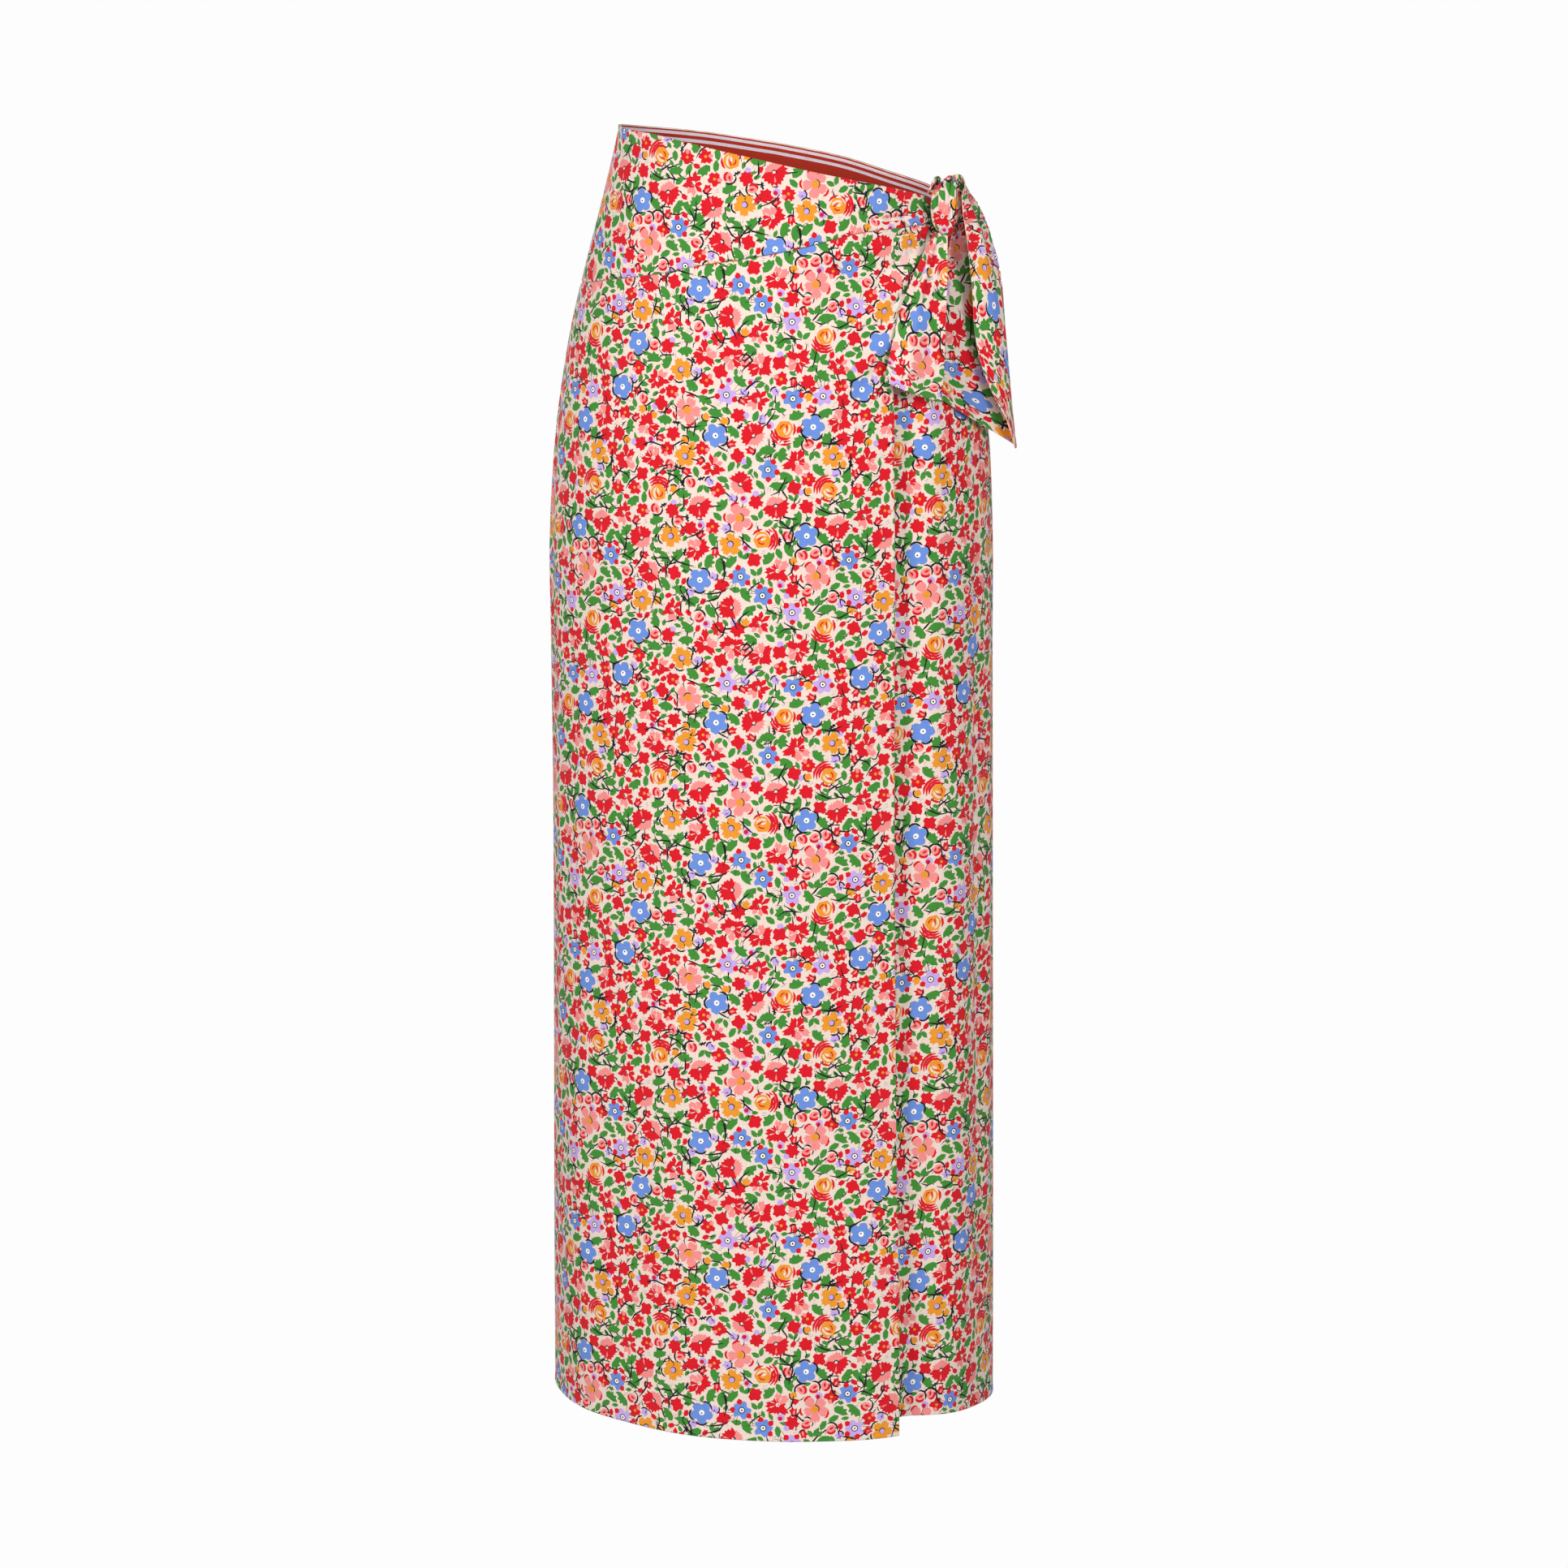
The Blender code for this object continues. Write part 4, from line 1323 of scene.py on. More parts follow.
UNEVEN_GROUP = make_uneven()
SEEN_THROUGH_GROUP = make_seen_through()
print("made:", UNEVEN_GROUP.name, "and", SEEN_THROUGH_GROUP.name)


# %% [markdown]
# ### The stripes of the facing
# Inside the back waist is a facing cut from a striped cloth, rust and pale lilac, with the stripes
# along the edge. Each stripe is a step of a ramp over the distance below the waist, which the
# facing's flat map holds.

# %% Node group: facing stripes
def make_stripes():
    group, given, result = new_group(
        "facing stripes", [("Below", "NodeSocketFloat", 0.0)], [("Color", "NodeSocketColor")])
    rust, lilac = colour(158, 38, 20), colour(206, 192, 200)
    share = node(group, "ShaderNodeMath", (0, given.outputs["Below"]), (1, 1.0 / 0.045),
                 operation="MULTIPLY")
    ramp = node(group, "ShaderNodeValToRGB", (0, share.outputs[0]))
    steps = ramp.color_ramp
    steps.interpolation = "CONSTANT"
    stripes = ((0.0, rust), (0.0018, lilac), (0.0042, rust), (0.0068, lilac), (0.0092, rust),
               (0.0290, lilac), (0.0314, rust), (0.0340, lilac), (0.0364, rust))
    while len(steps.elements) < len(stripes):
        steps.elements.new(1.0)
    for number, (below, value) in enumerate(stripes):
        steps.elements[number].position = below / 0.045
        steps.elements[number].color = value
    group.links.new(ramp.outputs["Color"], result.inputs["Color"])
    return group


STRIPE_GROUP = make_stripes()
print("made:", STRIPE_GROUP.name)


# %% [markdown]
# ### The finishes
# Cotton scatters light broadly and has a faint fuzz, so it is rough with a little sheen. The weave
# gives it its grain through a bump.

# %% The materials
def new_material(name, roughness, sheen):
    material = bpy.data.materials.new(name)
    material.use_nodes = True
    shader = material.node_tree.nodes["Principled BSDF"]
    shader.inputs["Roughness"].default_value = roughness
    shader.inputs["Specular IOR Level"].default_value = 0.22
    shader.inputs["Sheen Weight"].default_value = sheen
    shader.inputs["Sheen Roughness"].default_value = 0.5
    return material, material.node_tree, shader


def group_node(tree, group, **links):
    made = tree.nodes.new("ShaderNodeGroup")
    made.node_tree = group
    for socket, source in links.items():
        socket = socket.replace("_", " ")
        if isinstance(source, bpy.types.NodeSocket):
            tree.links.new(source, made.inputs[socket])
        else:
            made.inputs[socket].default_value = source
    return made


def shaded(tree, base, shades):
    """A colour darkened or lightened by each of some shades in turn."""
    for shade in shades:
        scaled = node(tree, "ShaderNodeVectorMath", (0, base), operation="SCALE")
        tree.links.new(shade, scaled.inputs["Scale"])
        base = scaled.outputs[0]
    return base


def finish_cloth(tree, shader, base, cloth, bump_height=0.00012, strength=0.55):
    weave = group_node(tree, WEAVE_GROUP, Cloth=cloth)
    uneven = group_node(tree, UNEVEN_GROUP, Cloth=cloth)
    final = shaded(tree, base, (weave.outputs["Shade"], uneven.outputs["Shade"]))
    tree.links.new(final, shader.inputs["Base Color"])
    bump = node(tree, "ShaderNodeBump", ("Height", weave.outputs["Height"]),
                ("Distance", bump_height), ("Strength", strength))
    tree.links.new(bump.outputs["Normal"], shader.inputs["Normal"])


def make_printed():
    material, tree, shader = new_material("printed_cotton", 0.86, 0.12)
    cloth = node(tree, "ShaderNodeUVMap", uv_map="cloth").outputs["UV"]
    ink = node(tree, "ShaderNodeAttribute", attribute_name="ink").outputs["Fac"]
    inks = group_node(tree, INK_GROUP, Ink=ink)
    finish_cloth(tree, shader, inks.outputs["Color"], cloth)
    return material


def make_wrong_side():
    material, tree, shader = new_material("wrong_side", 0.88, 0.10)
    cloth = node(tree, "ShaderNodeUVMap", uv_map="cloth").outputs["UV"]
    through = group_node(tree, SEEN_THROUGH_GROUP, Cloth=cloth, Ground=colour(238, 224, 212))
    finish_cloth(tree, shader, through.outputs["Color"], cloth)
    return material


def make_facing():
    material, tree, shader = new_material("striped_cotton", 0.86, 0.12)
    cloth = node(tree, "ShaderNodeUVMap", uv_map="cloth").outputs["UV"]
    apart = node(tree, "ShaderNodeSeparateXYZ", (0, cloth))
    below = node(tree, "ShaderNodeMath", (0, apart.outputs["Y"]), (1, -1.0), operation="MULTIPLY")
    stripes = group_node(tree, STRIPE_GROUP, Below=below.outputs[0])
    finish_cloth(tree, shader, stripes.outputs["Color"], cloth)
    return material


def make_thread():
    material, _tree, shader = new_material("cream_thread", 0.6, 0.2)
    shader.inputs["Base Color"].default_value = colour(236, 222, 206)
    return material


PRINTED = make_printed()
WRONG_SIDE = make_wrong_side()
FACING = make_facing()
THREAD = make_thread()
CLOTH_SIDES = (PRINTED, WRONG_SIDE)
BOTH_PRINTED = (PRINTED, PRINTED)
print("finishes:", ", ".join(m.name for m in (PRINTED, WRONG_SIDE, FACING, THREAD)))


# %% [markdown]
# ## The front panels
# The over front runs from the left side seam to a free edge that crosses the front and curves up to
# the knot. It hangs over the under front, which starts at the right side seam and goes on beneath.
# Both have a narrow turned hem. They can't be one surface: the dark line of the wrap edge is the
# shadow of one real edge over another cloth.

# %% Over front
def free_edge(drop):
    """The over front's free edge: its angle, by how far below the yoke seam."""
    return smooth(WRAP_EDGE, drop)[..., 0]


def along_seam(chart, angle, low, high, count=60):
    """A side seam from one height to another, flat."""
    height = np.linspace(low, high, count)
    return np.stack([chart.across(angle + 0.0 * height, height), height], axis=1)


def joined(*edges):
    """The outline and the kinds of its points, from (points, kind) edges in order."""
    points, kinds = [], []
    for edge, kind in edges:
        points.append(edge[:-1])
        kinds += [kind] * (len(edge) - 1)
    return np.concatenate(points), kinds


def over_front_outline():
    share = np.linspace(0.0, 1.0, 70)
    top = yoke_height(-SIDE_SEAM + (YOKE_END + SIDE_SEAM) * share) - SEAM_GAP
    height = hem_height(-SIDE_SEAM + (float(free_edge(1.0)) + SIDE_SEAM) * share)
    angle = -SIDE_SEAM + (free_edge(top - height) + SIDE_SEAM) * share
    hem = np.stack([FRONT.across(angle, height), height], axis=1)
    drop = np.concatenate([np.linspace(top[-1] - height[-1], 0.14, 60), np.linspace(0.136, 0.0, 40)])
    wrap = np.stack([FRONT.across(free_edge(drop), top[-1] - drop), top[-1] - drop], axis=1)
    angle = YOKE_END + (-SIDE_SEAM - YOKE_END) * share
    seam = yoke_height(angle) - SEAM_GAP
    yoke = np.stack([FRONT.across(angle, seam), seam], axis=1)
    side = along_seam(FRONT, -SIDE_SEAM, seam[-1], height[0])
    return joined((hem, 1), (wrap, 1), (yoke, 0), (side, 0))


def front_place(flat):
    return on_form(FRONT.angle(flat[:, 0], flat[:, 1]), flat[:, 1])


def dress(made, nodes):
    """Parents a finished sheet to the root body and hides the CAD solids it stands for."""
    piece, flat, area = made
    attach(piece, "root")
    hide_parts(*nodes)
    return piece


over_front = dress(
    cloth_piece("over_front_cloth", *over_front_outline(), front_place, CLOTH_SIDES,
                tile_at=(-0.213, 0.031), wrong_grid=0.010),
    ["over_front"])


# %% Under front
# Degrees past the over front's free edge where the under front starts and ends coming out.
COVER_FROM, COVER_TO = 3.0, 15.0
# How much lower than the waist its top edge is behind the knot, and between which angles it rises.
TOP_DROP, TOP_FROM, TOP_TO = 0.006, 70.0, 88.0


def under_front_out(angle, height):
    cover = free_edge(yoke_height(YOKE_END) - height)
    return -OVERLAP_DEPTH * (1.0 - soft_step(cover + COVER_FROM, cover + COVER_TO, angle))


def under_front_top(angle):
    return waist_height(angle) - TOP_DROP * (1.0 - soft_step(TOP_FROM, TOP_TO, angle))


def under_front_place(flat):
    angle = FRONT.angle(flat[:, 0], flat[:, 1])
    return on_form(angle, flat[:, 1], under_front_out(angle, flat[:, 1]))


def across_edge(chart, height_at, start, end, count=70):
    """A flat edge that runs round the skirt between two angles."""
    angle = np.linspace(start, end, count)
    height = height_at(angle)
    return np.stack([chart.across(angle, height), height], axis=1)


def panel_outline(chart, top_at, hem_at, left, right, kinds):
    """A panel between two angles: kinds are of its hem, right side, top and left side."""
    hem = across_edge(chart, hem_at, left, right)
    top = across_edge(chart, top_at, right, left)
    return joined((hem, kinds[0]), (along_seam(chart, right, hem[-1, 1], top[0, 1]), kinds[1]),
                  (top, kinds[2]), (along_seam(chart, left, top[-1, 1], hem[0, 1]), kinds[3]))


under_front = dress(
    cloth_piece("under_front_cloth",
                *panel_outline(FRONT, under_front_top, under_hem_height, UNDER_EDGE, SIDE_SEAM,
                               (1, 0, 1, 1)),
                under_front_place, CLOTH_SIDES, tile_at=(-0.120, 0.012)),
    ["under_front"])

# %% [markdown]
# ## The back and the yokes
# A yoke is a shaped band between the waist and the panel. It carries the curve of the hips, so the
# panels below can hang straight. The back and its yoke go from seam to seam, the front yoke tapers
# to the knot, and both have the same print as the panels, cut a little out of step with them.

# %% Back, back yoke and front yoke
def back_place(flat):
    return on_form(BACK.angle(flat[:, 0], flat[:, 1]), flat[:, 1])


BACK_FROM, BACK_TO = 180.0 - SIDE_SEAM, 180.0 + SIDE_SEAM
back = dress(
    cloth_piece("back_cloth",
                *panel_outline(BACK, lambda angle: yoke_height(angle) - SEAM_GAP,
                               hem_height, BACK_FROM, BACK_TO, (1, 0, 0, 0)),
                back_place, CLOTH_SIDES, tile_at=(-0.170, 0.020), lines=COARSE_LINES, grid=0.014,
                insets=(0.0008, 0.0031), wrong_grid=0.018),
    ["back"])
back_yoke = dress(
    cloth_piece("back_yoke_cloth",
                *panel_outline(BACK, waist_height, yoke_height, BACK_FROM, BACK_TO, (0, 0, 1, 0)),
                back_place, CLOTH_SIDES, tile_at=(-0.110, 0.084)),
    ["back_yoke"])
over_yoke = dress(
    cloth_piece("over_yoke_cloth",
                *panel_outline(FRONT, waist_height, yoke_height, -SIDE_SEAM, YOKE_END + 2.0, (0, 0, 1, 0)),
                front_place, CLOTH_SIDES, tile_at=(-0.155, 0.061)),
    ["over_yoke"])


# %% [markdown]
# ## The facing
# A facing finishes the inside of the waist. It is a strip of striped cloth, shaped like the top of
# the yoke. Its right side faces the body, so its flat map runs the other way round the back, and
# its height is measured down from the waist edge, as the stripes are.

# %% Back facing
FACING_IN = 0.0009        # how far inside the yoke the facing lies at the waist
FACING_FALLS_IN = 0.0011  # and how much further in it lies from 6 mm below


def facing_place(flat):
    angle = BACK.angle(-flat[:, 0], 0.0 * flat[:, 0])
    below = -flat[:, 1]
    inwards = FACING_IN + FACING_FALLS_IN * soft_step(0.0, 0.006, below)
    return on_form(angle, waist_height(angle) - below, -inwards)


def facing_outline():
    angle = np.linspace(BACK_TO, BACK_FROM, 70)
    across = -BACK.across(angle, 0.0 * angle)
    deep = np.minimum(FACING_HEIGHT, waist_height(angle) - yoke_height(angle))
    low = np.stack([across, -deep], axis=1)
    high = np.stack([across[::-1], 0.0 * across], axis=1)
    right = np.stack([np.full(12, across[-1]), np.linspace(-deep[-1], 0.0, 12)], axis=1)
    left = np.stack([np.full(12, across[0]), np.linspace(0.0, -deep[0], 12)], axis=1)
    return joined((low, 1), (right, 0), (high, 0), (left, 0))


dress(
    cloth_piece("back_facing_cloth", *facing_outline(), facing_place, (FACING, FACING)),
    ["back_facing"])


# %% [markdown]
# ## The ties
# A tie is a straight band, sewn and turned through. At the knot it is squeezed, so it comes out in
# gathers that open as it falls. Each tie is a smooth sheet through a few sections, the same as the
# CAD model's, with the gathers added as short ridges and troughs on its flat cloth. The over
# front's tie leaves the knot at the top and is folded lengthwise. The side tie goes round as the
# knot and ends in front.

# %% A sheet through sections
def along(points, share):
    """Smooth curves through `points` (one row of them for each value of `share`)."""
    steps = points.shape[1] - 1
    place = np.clip(share, 0.0, 1.0) * steps
    index = np.minimum(place.astype(int), steps - 1)
    every = np.arange(len(index))
    start, end = points[every, index], points[every, index + 1]
    before, after = points[every, np.maximum(index - 1, 0)], points[every, np.minimum(index + 2, steps)]
    slope_in = np.where((index > 0)[:, None], (end - before) * 0.5, end - start)
    slope_out = np.where((index < steps - 1)[:, None], (after - start) * 0.5, end - start)
    return hermite(start, end, slope_in, slope_out, (place - index)[:, None])


class Band:
    """A sheet through sections, with its flat width at every section and its flat length."""
    def __init__(self, sections, creases=()):
        self.sections = np.array(sections, float)
        self.creases = creases
        self.downs = np.linspace(0.0, 1.0, 41)
        across = np.linspace(0.0, 1.0, 41)
        lines = np.array([self.at(across, np.full(41, down)) for down in self.downs])
        self.widths = np.linalg.norm(np.diff(lines, axis=1), axis=-1).sum(axis=1)
        self.length = float(np.linalg.norm(np.diff(lines, axis=0), axis=-1).sum(axis=0).mean())

    def at(self, across, down):
        columns = []
        for column in range(self.sections.shape[1]):
            line = self.sections[:, column]
            columns.append(along(np.broadcast_to(line, (len(down), *line.shape)), down))
        return along(np.stack(columns, axis=1), across)

    def smooth_place(self, flat):
        down = -flat[:, 1] / self.length
        return self.at(0.5 + flat[:, 0] / np.interp(down, self.downs, self.widths), down)

    def place(self, flat):
        """The smooth sheet with its creases, (x, y, to x, to y, half width, rise) in flat metres."""
        here, out = placed_with_normals(self.smooth_place, flat)
        rise = np.zeros(len(flat))
        for x, y, to_x, to_y, half_width, fold in self.creases:
            run = np.hypot(to_x - x, to_y - y)
            share = ((flat[:, 0] - x) * (to_x - x) + (flat[:, 1] - y) * (to_y - y)) / run ** 2
            aside = np.abs((flat[:, 0] - x) * (to_y - y) - (flat[:, 1] - y) * (to_x - x)) / run
            shape = np.cos(np.minimum(aside / half_width, 1.0) * np.pi / 2) ** 2
            fade = soft_step(-0.08, 0.10, share) * (1.0 - soft_step(0.45, 1.0, share))
            rise += fold * shape * fade
        return here + out * rise[:, None]

    def outline(self, kinds=(1, 1, 0, 1)):
        """Kinds are of its end, right side, start and left side."""
        half = 0.5 * self.widths
        right = np.stack([half, -self.downs * self.length], axis=1)
        left = np.stack([-half, -self.downs * self.length], axis=1)
        end = np.linspace(left[-1], right[-1], 12)
        start = np.linspace(right[0], left[0], 12)
        return joined((end, kinds[0]), (right[::-1], kinds[1]), (start, kinds[2]), (left, kinds[3]))


# %% Over front's tie, the side tie's end, and the ear behind the knot
OVER_TIE = Band((
    # left edge, middle of the rear layer, rear of the fold, front of the fold, flap, flap's edge
    ((0.1360, -0.0400, -0.0100), (0.1390, -0.0370, -0.0075), (0.1425, -0.0400, -0.0080),
     (0.1445, -0.0490, -0.0115), (0.1450, -0.0600, -0.0145), (0.1430, -0.0690, -0.0180)),
    ((0.1400, -0.0370, -0.0380), (0.1440, -0.0340, -0.0350), (0.1510, -0.0350, -0.0300),
     (0.1540, -0.0450, -0.0290), (0.1510, -0.0590, -0.0310), (0.1440, -0.0690, -0.0350)),
    ((0.1345, -0.0470, -0.0640), (0.1450, -0.0400, -0.0600), (0.1600, -0.0360, -0.0530),
     (0.1635, -0.0460, -0.0510), (0.1575, -0.0600, -0.0530), (0.1475, -0.0670, -0.0570)),
    ((0.1320, -0.0600, -0.0950), (0.1490, -0.0480, -0.0920), (0.1700, -0.0370, -0.0880),
     (0.1722, -0.0480, -0.0860), (0.1635, -0.0600, -0.0880), (0.1515, -0.0640, -0.0920)),
    ((0.1315, -0.0690, -0.1340), (0.1520, -0.0530, -0.1360), (0.1755, -0.0370, -0.1340),
     (0.1778, -0.0480, -0.1320), (0.1675, -0.0600, -0.1300), (0.1545, -0.0650, -0.1300)),
    ((0.1285, -0.0745, -0.1580), (0.1520, -0.0570, -0.1700), (0.1795, -0.0370, -0.1760),
     (0.1818, -0.0470, -0.1720), (0.1735, -0.0570, -0.1660), (0.1635, -0.0620, -0.1630)),
    ((0.1257, -0.0780, -0.1739), (0.1515, -0.0590, -0.1919), (0.1840, -0.0370, -0.2135),
     (0.1866, -0.0440, -0.2170), (0.1830, -0.0510, -0.2050), (0.1795, -0.0560, -0.1936)),
), creases=(
    # x, y, to x, to y, half width, rise
    (-0.004, -0.040, -0.014, -0.150, 0.0050, 0.0020),
    (-0.009, -0.036, -0.024, -0.130, 0.0040, -0.0020),
    (0.004, -0.026, -0.002, -0.140, 0.0042, -0.0022),
    (0.012, -0.026, 0.014, -0.160, 0.0045, 0.0014),
    (0.018, -0.018, 0.024, -0.110, 0.0034, -0.0016),
))
SIDE_TIE_TAIL = Band((
    # left edge, ridge, trough, right edge
    ((0.1225, -0.0655, -0.0485), (0.1250, -0.0720, -0.0495), (0.1285, -0.0710, -0.0505),
     (0.1325, -0.0715, -0.0515)),
    ((0.1090, -0.0750, -0.0750), (0.1165, -0.0840, -0.0770), (0.1245, -0.0785, -0.0790),
     (0.1325, -0.0790, -0.0810)),
    ((0.0965, -0.0880, -0.1055), (0.1085, -0.0955, -0.1085), (0.1200, -0.0885, -0.1115),
     (0.1313, -0.0850, -0.1145)),
    ((0.0885, -0.0975, -0.1380), (0.1020, -0.1025, -0.1425), (0.1160, -0.0950, -0.1470),
     (0.1300, -0.0900, -0.1510)),
    ((0.0843, -0.1035, -0.1595), (0.0985, -0.1065, -0.1655), (0.1130, -0.1000, -0.1715),
     (0.1280, -0.0920, -0.1762)),
), creases=(
    # x, y, to x, to y, half width, rise
    (-0.003, -0.002, -0.010, -0.070, 0.0028, 0.0014),
    (0.000, -0.002, -0.002, -0.085, 0.0028, -0.0020),
    (0.003, -0.002, 0.008, -0.080, 0.0028, 0.0013),
    (0.006, -0.004, 0.014, -0.060, 0.0024, -0.0015),
))
KNOT_EAR = Band((
    # left edge, left of the bend, right of the bend, right edge
    ((0.1228, -0.0580, -0.0115), (0.1236, -0.0520, -0.0085), (0.1262, -0.0510, -0.0078),
     (0.1276, -0.0540, -0.0100)),
    ((0.1200, -0.0600, -0.0165), (0.1210, -0.0510, -0.0140), (0.1245, -0.0475, -0.0130),
     (0.1262, -0.0480, -0.0150)),
    ((0.1180, -0.0580, -0.0205), (0.1190, -0.0505, -0.0200), (0.1225, -0.0450, -0.0190),
     (0.1245, -0.0440, -0.0200)),
))

over_tie = dress(
    cloth_piece("over_tie_end", *OVER_TIE.outline(), OVER_TIE.place, BOTH_PRINTED,
                tile_at=(-0.083, 0.050), grid=0.003, double=True),
    ["over_tie_tail"])
side_tie_end = dress(
    cloth_piece("side_tie_end", *SIDE_TIE_TAIL.outline(), SIDE_TIE_TAIL.place, BOTH_PRINTED,
                tile_at=(-0.051, 0.021), grid=0.003, double=True),
    ["side_tie_tail"])
dress(
    cloth_piece("knot_ear_cloth", *KNOT_EAR.outline((0, 1, 1, 1)), KNOT_EAR.place, BOTH_PRINTED,
                tile_at=(-0.140, 0.130), grid=0.002, insets=(0.0004, 0.0010), double=True),
    ["knot_ear"])

# %% [markdown]
# ## The knot
# The knot is one turn of the side tie round the other. What shows is a pad of cloth that comes over
# the top, bulges, and is drawn in below. It is made as a gathered sheet over the solid lump, with
# a few deep creases where the band folds.

# %% The knot and the side tie that runs into it
KNOT = Band((
    # five points across, from the left
    ((0.1235, -0.0480, -0.0230), (0.1270, -0.0470, -0.0170), (0.1310, -0.0465, -0.0120),
     (0.1345, -0.0465, -0.0090), (0.1385, -0.0470, -0.0110)),
    ((0.1212, -0.0540, -0.0205), (0.1250, -0.0545, -0.0145), (0.1300, -0.0545, -0.0098),
     (0.1345, -0.0545, -0.0072), (0.1392, -0.0530, -0.0100)),
    ((0.1203, -0.0600, -0.0235), (0.1245, -0.0645, -0.0195), (0.1305, -0.0670, -0.0165),
     (0.1370, -0.0655, -0.0150), (0.1412, -0.0590, -0.0165)),
    ((0.1200, -0.0595, -0.0330), (0.1245, -0.0655, -0.0325), (0.1310, -0.0690, -0.0320),
     (0.1380, -0.0660, -0.0320), (0.1430, -0.0580, -0.0310)),
    ((0.1215, -0.0590, -0.0430), (0.1260, -0.0650, -0.0435), (0.1312, -0.0680, -0.0440),
     (0.1365, -0.0655, -0.0430), (0.1410, -0.0580, -0.0410)),
    ((0.1270, -0.0600, -0.0510), (0.1293, -0.0640, -0.0520), (0.1316, -0.0655, -0.0530),
     (0.1338, -0.0640, -0.0525), (0.1360, -0.0600, -0.0515)),
), creases=(
    # x, y, to x, to y, half width, rise
    (-0.002, -0.016, -0.001, -0.060, 0.0026, -0.0026),
    (-0.012, -0.018, -0.004, -0.046, 0.0022, -0.0018),
    (0.010, -0.012, 0.000, -0.034, 0.0024, -0.0018),
    (0.005, -0.020, 0.003, -0.062, 0.0022, -0.0018),
    (0.009, -0.018, 0.006, -0.058, 0.0018, 0.0010),
))
dress(
    cloth_piece("knot_cloth", *KNOT.outline((0, 1, 1, 1)), KNOT.place, BOTH_PRINTED,
                tile_at=(-0.030, 0.075), grid=0.002, insets=(0.0004, 0.0010), double=True),
    ["tie_knot"])

SIDE_TIE_EDGES = (
    # angle, upper edge, lower edge
    (69.0, -0.0270, -0.0430),
    (80.0, -0.0270, -0.0460),
    (90.0, -0.0275, -0.0500),
)


SIDE_TIE_LIFT = 0.0065    # how far it stands off the yoke where it enters the knot
SIDE_TIE_FROM = 69.0      # the angle where it enters the knot
GATHER_RISE = 0.0006


def side_tie_place(flat):
    angle = FRONT.angle(flat[:, 0], flat[:, 1])
    lift = SIDE_TIE_LIFT * (1.0 - soft_step(SIDE_TIE_FROM, 84.0, angle))
    upper, lower = np.moveaxis(smooth(SIDE_TIE_EDGES, angle), -1, 0)
    share = (upper - flat[:, 1]) / (upper - lower)
    fade = 1.0 - soft_step(72.0, 86.0, angle)
    gathers = GATHER_RISE * np.sin(share * 15.0 + angle * 0.05) * fade
    return on_form(angle, flat[:, 1], TIE_CLOTH + SEAM_GAP + lift + gathers)


dress(
    cloth_piece("side_tie_cloth",
                *panel_outline(FRONT, lambda angle: smooth(SIDE_TIE_EDGES, angle)[..., 0],
                               lambda angle: smooth(SIDE_TIE_EDGES, angle)[..., 1], SIDE_TIE_FROM, 89.4,
                               (1, 0, 1, 0)),
                side_tie_place, CLOTH_SIDES, tile_at=(0.090, -0.090), grid=0.003),
    ["side_tie"])


# %% [markdown]
# ## Stitches
# The turned edges are held by one row of small stitches in cream thread, about 3 mm in. Each stitch
# is a thin lozenge of thread, laid along the edge and sunk a little, with a gap before the next
# where the thread goes down. They are modelled, because a painted dash would not catch the light.

# %% Rows of stitches
STITCH = 0.0024           # length of one
STITCH_EVERY = 0.0032
THREAD_HALF = 0.00022     # half its width, and how far it stands up
THREAD_SUNK = 0.0003      # how deep its ends go
THREAD_BELOW = 0.0004     # how deep its underside is
THREAD_SIDE = 0.00002     # how high its widest line is

going_with = {}


def stitch_row(line, place):
    """Corners and faces of the stitches along a line in flat metres."""
    steps = np.linalg.norm(np.diff(line, axis=0), axis=1)
    way = np.concatenate([[0.0], np.cumsum(steps)])
    starts = np.arange(0.002, way[-1] - STITCH - 0.001, STITCH_EVERY)
    begin, end = (np.stack([np.interp(at, way, line[:, 0]), np.interp(at, way, line[:, 1])], axis=1)
                  for at in (starts, starts + STITCH))
    middle = 0.5 * (begin + end)
    centre, out = placed_with_normals(place, middle)
    first, last = place(begin), place(end)
    run = last - first
    run /= np.linalg.norm(run, axis=1, keepdims=True)
    aside = np.cross(out, run) * THREAD_HALF
    corners = np.stack([first - out * THREAD_SUNK, last - out * THREAD_SUNK,
                        centre + aside + out * THREAD_SIDE, centre - aside + out * THREAD_SIDE,
                        centre + out * THREAD_HALF, centre - out * THREAD_BELOW], axis=1)
    lozenge = np.array([(0, 2, 4), (0, 4, 3), (0, 3, 5), (0, 5, 2), (1, 4, 2), (1, 3, 4), (1, 5, 3),
                        (1, 2, 5)])
    faces = lozenge[None] + 6 * np.arange(len(starts))[:, None, None]
    return corners.reshape(-1, 3), faces.reshape(-1, 3)


def stitches(name, lines, node_name, with_sheet):
    """All the rows of one piece, each a (flat line, place) pair."""
    corners, faces = [], []
    for line, place in lines:
        row_corners, row_faces = stitch_row(line, place)
        faces.append(row_faces + sum(len(rows) for rows in corners))
        corners.append(row_corners)
    mesh = bpy.data.meshes.new(name)
    mesh.from_pydata(np.concatenate(corners).tolist(), [], np.concatenate(faces).tolist())
    mesh.materials.append(THREAD)
    mesh.shade_smooth()
    piece = bpy.data.objects.new(name, mesh)
    bpy.context.scene.collection.objects.link(piece)
    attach(piece, "root")
    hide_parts(node_name)
    going_with.setdefault(with_sheet.name, []).append(piece)
    print(f"{name}: {len(mesh.polygons) // 8} stitches")


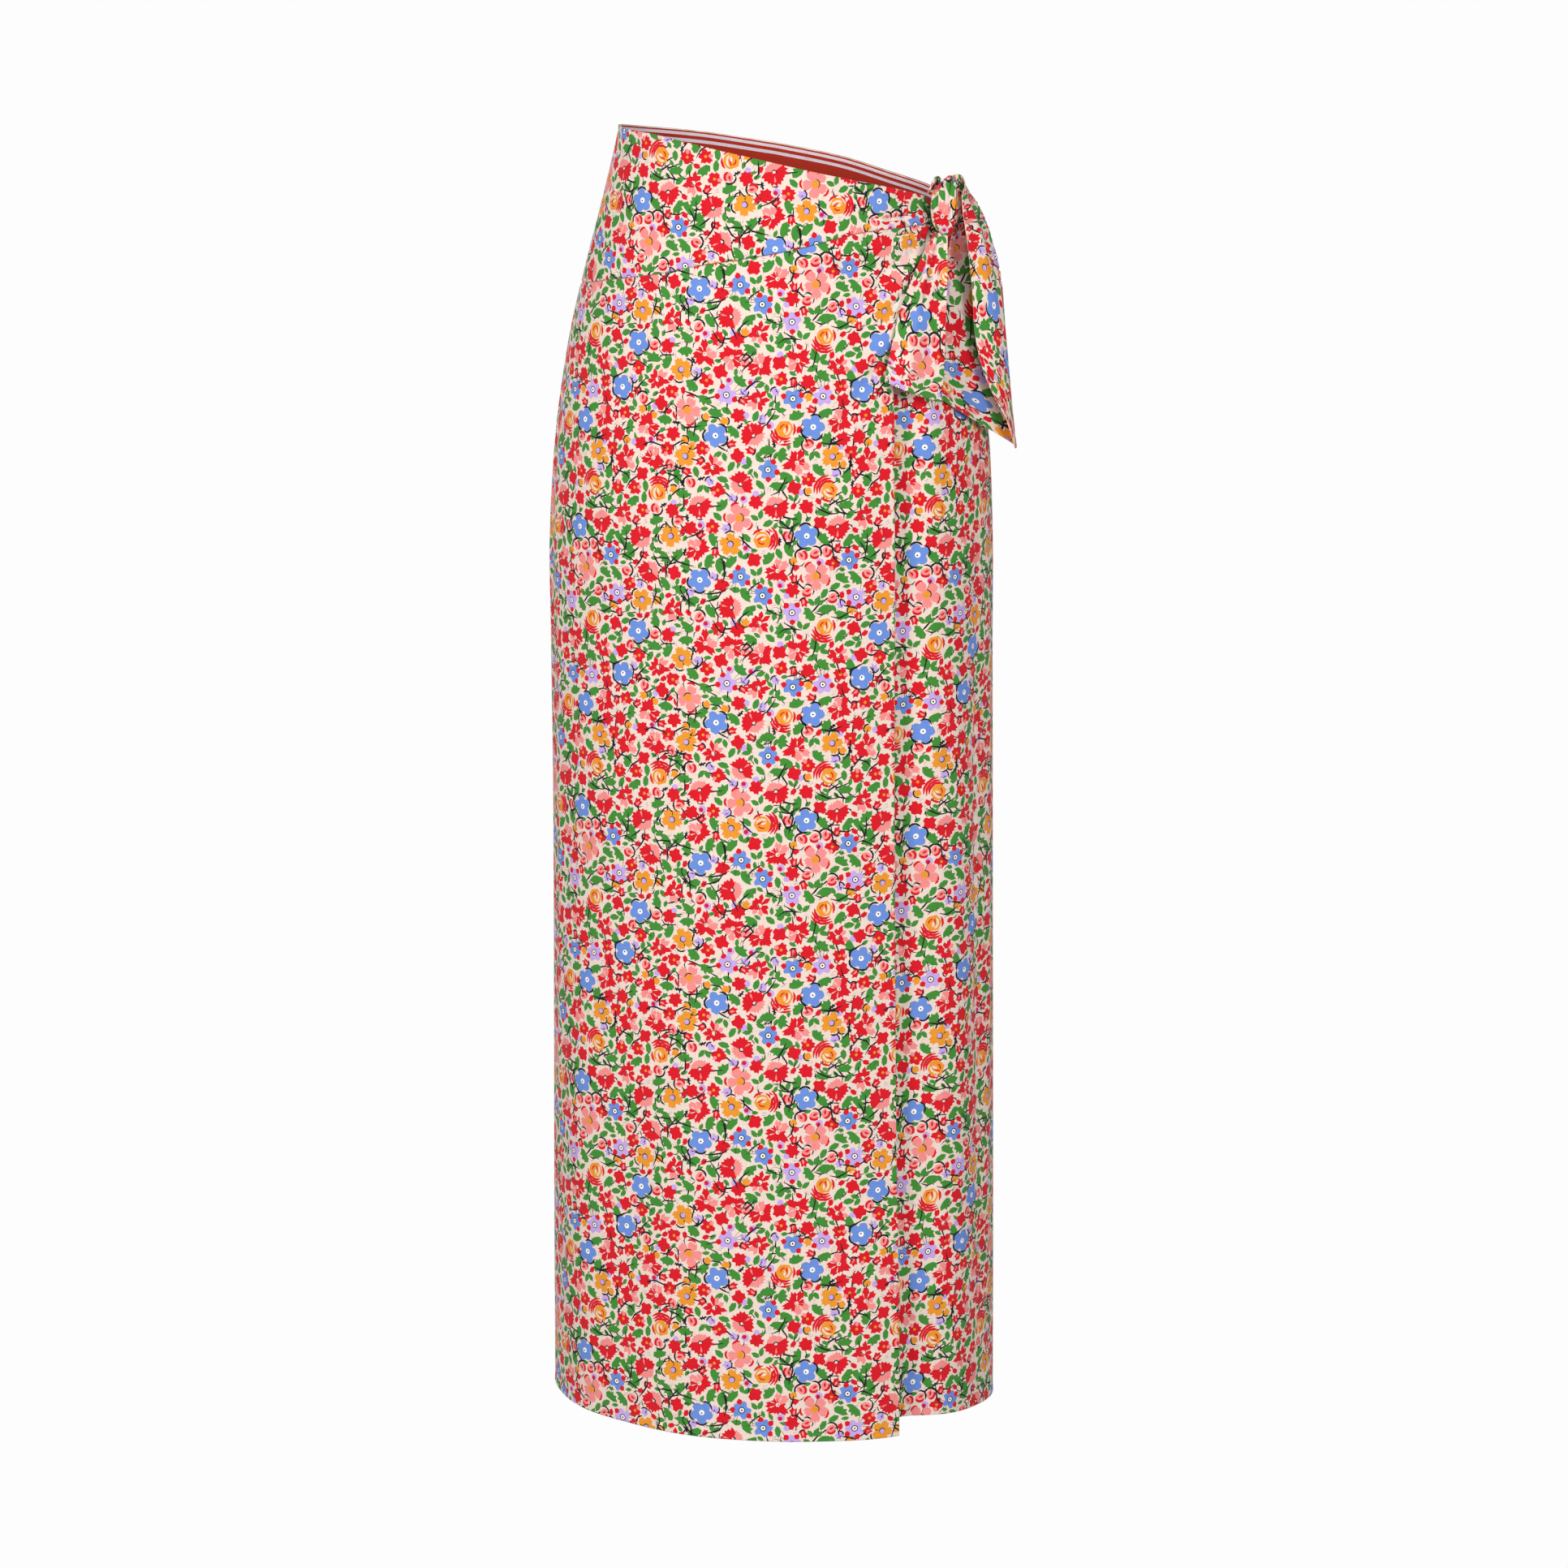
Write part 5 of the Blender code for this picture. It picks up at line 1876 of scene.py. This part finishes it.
def free_line(points, kinds):
    """The longest run of free edge in an outline, moved in to the stitch line."""
    points = np.array(points)
    kinds = np.array(kinds)
    loop = inset_loop(points, STITCH_IN)
    if kinds.min() == 1:
        return np.concatenate([loop, loop[:1]])
    first = next(index for index in range(len(kinds)) if kinds[index] == 1 and kinds[index - 1] == 0)
    count = next(step for step in range(1, len(kinds)) if kinds[(first + step) % len(kinds)] == 0)
    return np.array([loop[(first + step) % len(kinds)] for step in range(count)])


def top_line(chart, top_at, start, end):
    line = across_edge(chart, top_at, start, end)
    return line - (0.0, STITCH_IN)


stitches("over_front_stitches", [(free_line(*over_front_outline()), front_place)], "over_front",
         over_front)
stitches("under_front_stitches",
         [(across_edge(FRONT, under_hem_height, UNDER_EDGE + 1.0, 89.5) + (0.0, STITCH_IN),
           under_front_place),
          (across_edge(FRONT, under_front_top, 63.0, 89.5) - (0.0, STITCH_IN), under_front_place)],
         "under_front", under_front)
stitches("back_stitches",
         [(across_edge(BACK, hem_height, BACK_FROM + 0.5, BACK_TO - 0.5) + (0.0, STITCH_IN),
           back_place)], "back", back)
stitches("over_yoke_stitches",
         [(top_line(FRONT, waist_height, -89.0, 60.0), front_place)],
         "over_yoke", over_yoke)
stitches("back_yoke_stitches",
         [(top_line(BACK, waist_height, BACK_FROM + 0.5, BACK_TO - 0.5), back_place)], "back_yoke",
         back_yoke)
stitches("over_tie_stitches", [(free_line(*OVER_TIE.outline()), OVER_TIE.place)], "over_tie_tail",
         over_tie)
stitches("side_tie_end_stitches", [(free_line(*SIDE_TIE_TAIL.outline()), SIDE_TIE_TAIL.place)],
         "side_tie_tail", side_tie_end)

print("triangles in all the cloth:", total_triangles)


# %% [markdown]
# ## The studio
# The skirt is seen from the front and a little above, through a long lens, on white. The floor and
# the backdrop are plain white paper that sends no light back. A stronger soft light on the left and
# a weaker one on the right keep the folds readable, one in front and above fills them, and one
# behind lights the back for whoever walks round it.

# %% Floor, lights, camera
scene = bpy.context.scene
scene.view_settings.view_transform = "Standard"
scene.view_settings.look = "None"

white, tree, shader = new_material("white_paper", 1.0, 0.0)
shader.inputs["Specular IOR Level"].default_value = 0.0
shader.inputs["Base Color"].default_value = (0.0, 0.0, 0.0, 1.0)
shader.inputs["Emission Color"].default_value = colour(253, 253, 253)
shader.inputs["Emission Strength"].default_value = 1.0
FLOOR_HEIGHT = -1.14
FLOOR_REACH = 6.0
floor_mesh = bpy.data.meshes.new("studio_floor")
floor_mesh.from_pydata([(x * FLOOR_REACH, y * FLOOR_REACH, FLOOR_HEIGHT)
                        for x, y in ((-1, -1), (1, -1), (1, 1), (-1, 1))], [], [(0, 1, 2, 3)])
floor_mesh.materials.append(white)
floor = bpy.data.objects.new("studio_floor", floor_mesh)
scene.collection.objects.link(floor)
floor.visible_diffuse = False
floor.visible_glossy = False
floor.visible_shadow = False

world = bpy.data.worlds.new("studio_white")
world.use_nodes = True
scene.world = world
web = world.node_tree
web.nodes.clear()
seen = node(web, "ShaderNodeBackground", ("Color", colour(253, 253, 253)), ("Strength", 1.0))
ambient = node(web, "ShaderNodeBackground", ("Color", (1.0, 1.0, 1.0, 1.0)), ("Strength", 0.32))
path = node(web, "ShaderNodeLightPath")
mixed = node(web, "ShaderNodeMixShader", (0, path.outputs["Is Camera Ray"]),
             (1, ambient.outputs[0]), (2, seen.outputs[0]))
node(web, "ShaderNodeOutputWorld", ("Surface", mixed.outputs[0]))


def soft_light(name, place, target, size, power):
    lamp = bpy.data.lights.new(name, "AREA")
    lamp.shape = "DISK"
    lamp.size = size
    lamp.energy = power
    light = bpy.data.objects.new(name, lamp)
    scene.collection.objects.link(light)
    light.location = place
    light.rotation_euler = (Vector(target) - Vector(place)).to_track_quat("-Z", "Y").to_euler()


SKIRT_MIDDLE = (0.0, 0.0, -0.5)
for name, place, size, power in (
        ("left_softbox", (-2.3, -2.9, 0.9), 1.2, 84.0),
        ("right_softbox", (2.1, -3.0, 0.5), 1.2, 56.0),
        ("front_softbox", (0.0, -3.8, 1.6), 1.6, 34.0),
        ("rear_softbox", (-0.6, 3.6, 0.9), 1.6, 95.0)):
    soft_light(name, place, SKIRT_MIDDLE, size, power)

LOOKS_DOWN = 10.85        # degrees below level
camera_data = bpy.data.cameras.new("camera")
camera_data.lens = 106.0
camera_data.sensor_width = 36.0
camera_data.clip_end = 100.0
camera = bpy.data.objects.new("camera", camera_data)
scene.collection.objects.link(camera)
camera.location = (0.008, -3.6, 0.20)
camera.rotation_euler = (math.radians(90.0 - LOOKS_DOWN), 0.0, 0.0)
scene.camera = camera
print("lights:", sum(thing.type == "LIGHT" for thing in scene.objects), "and a lens of",
      camera_data.lens, "mm")
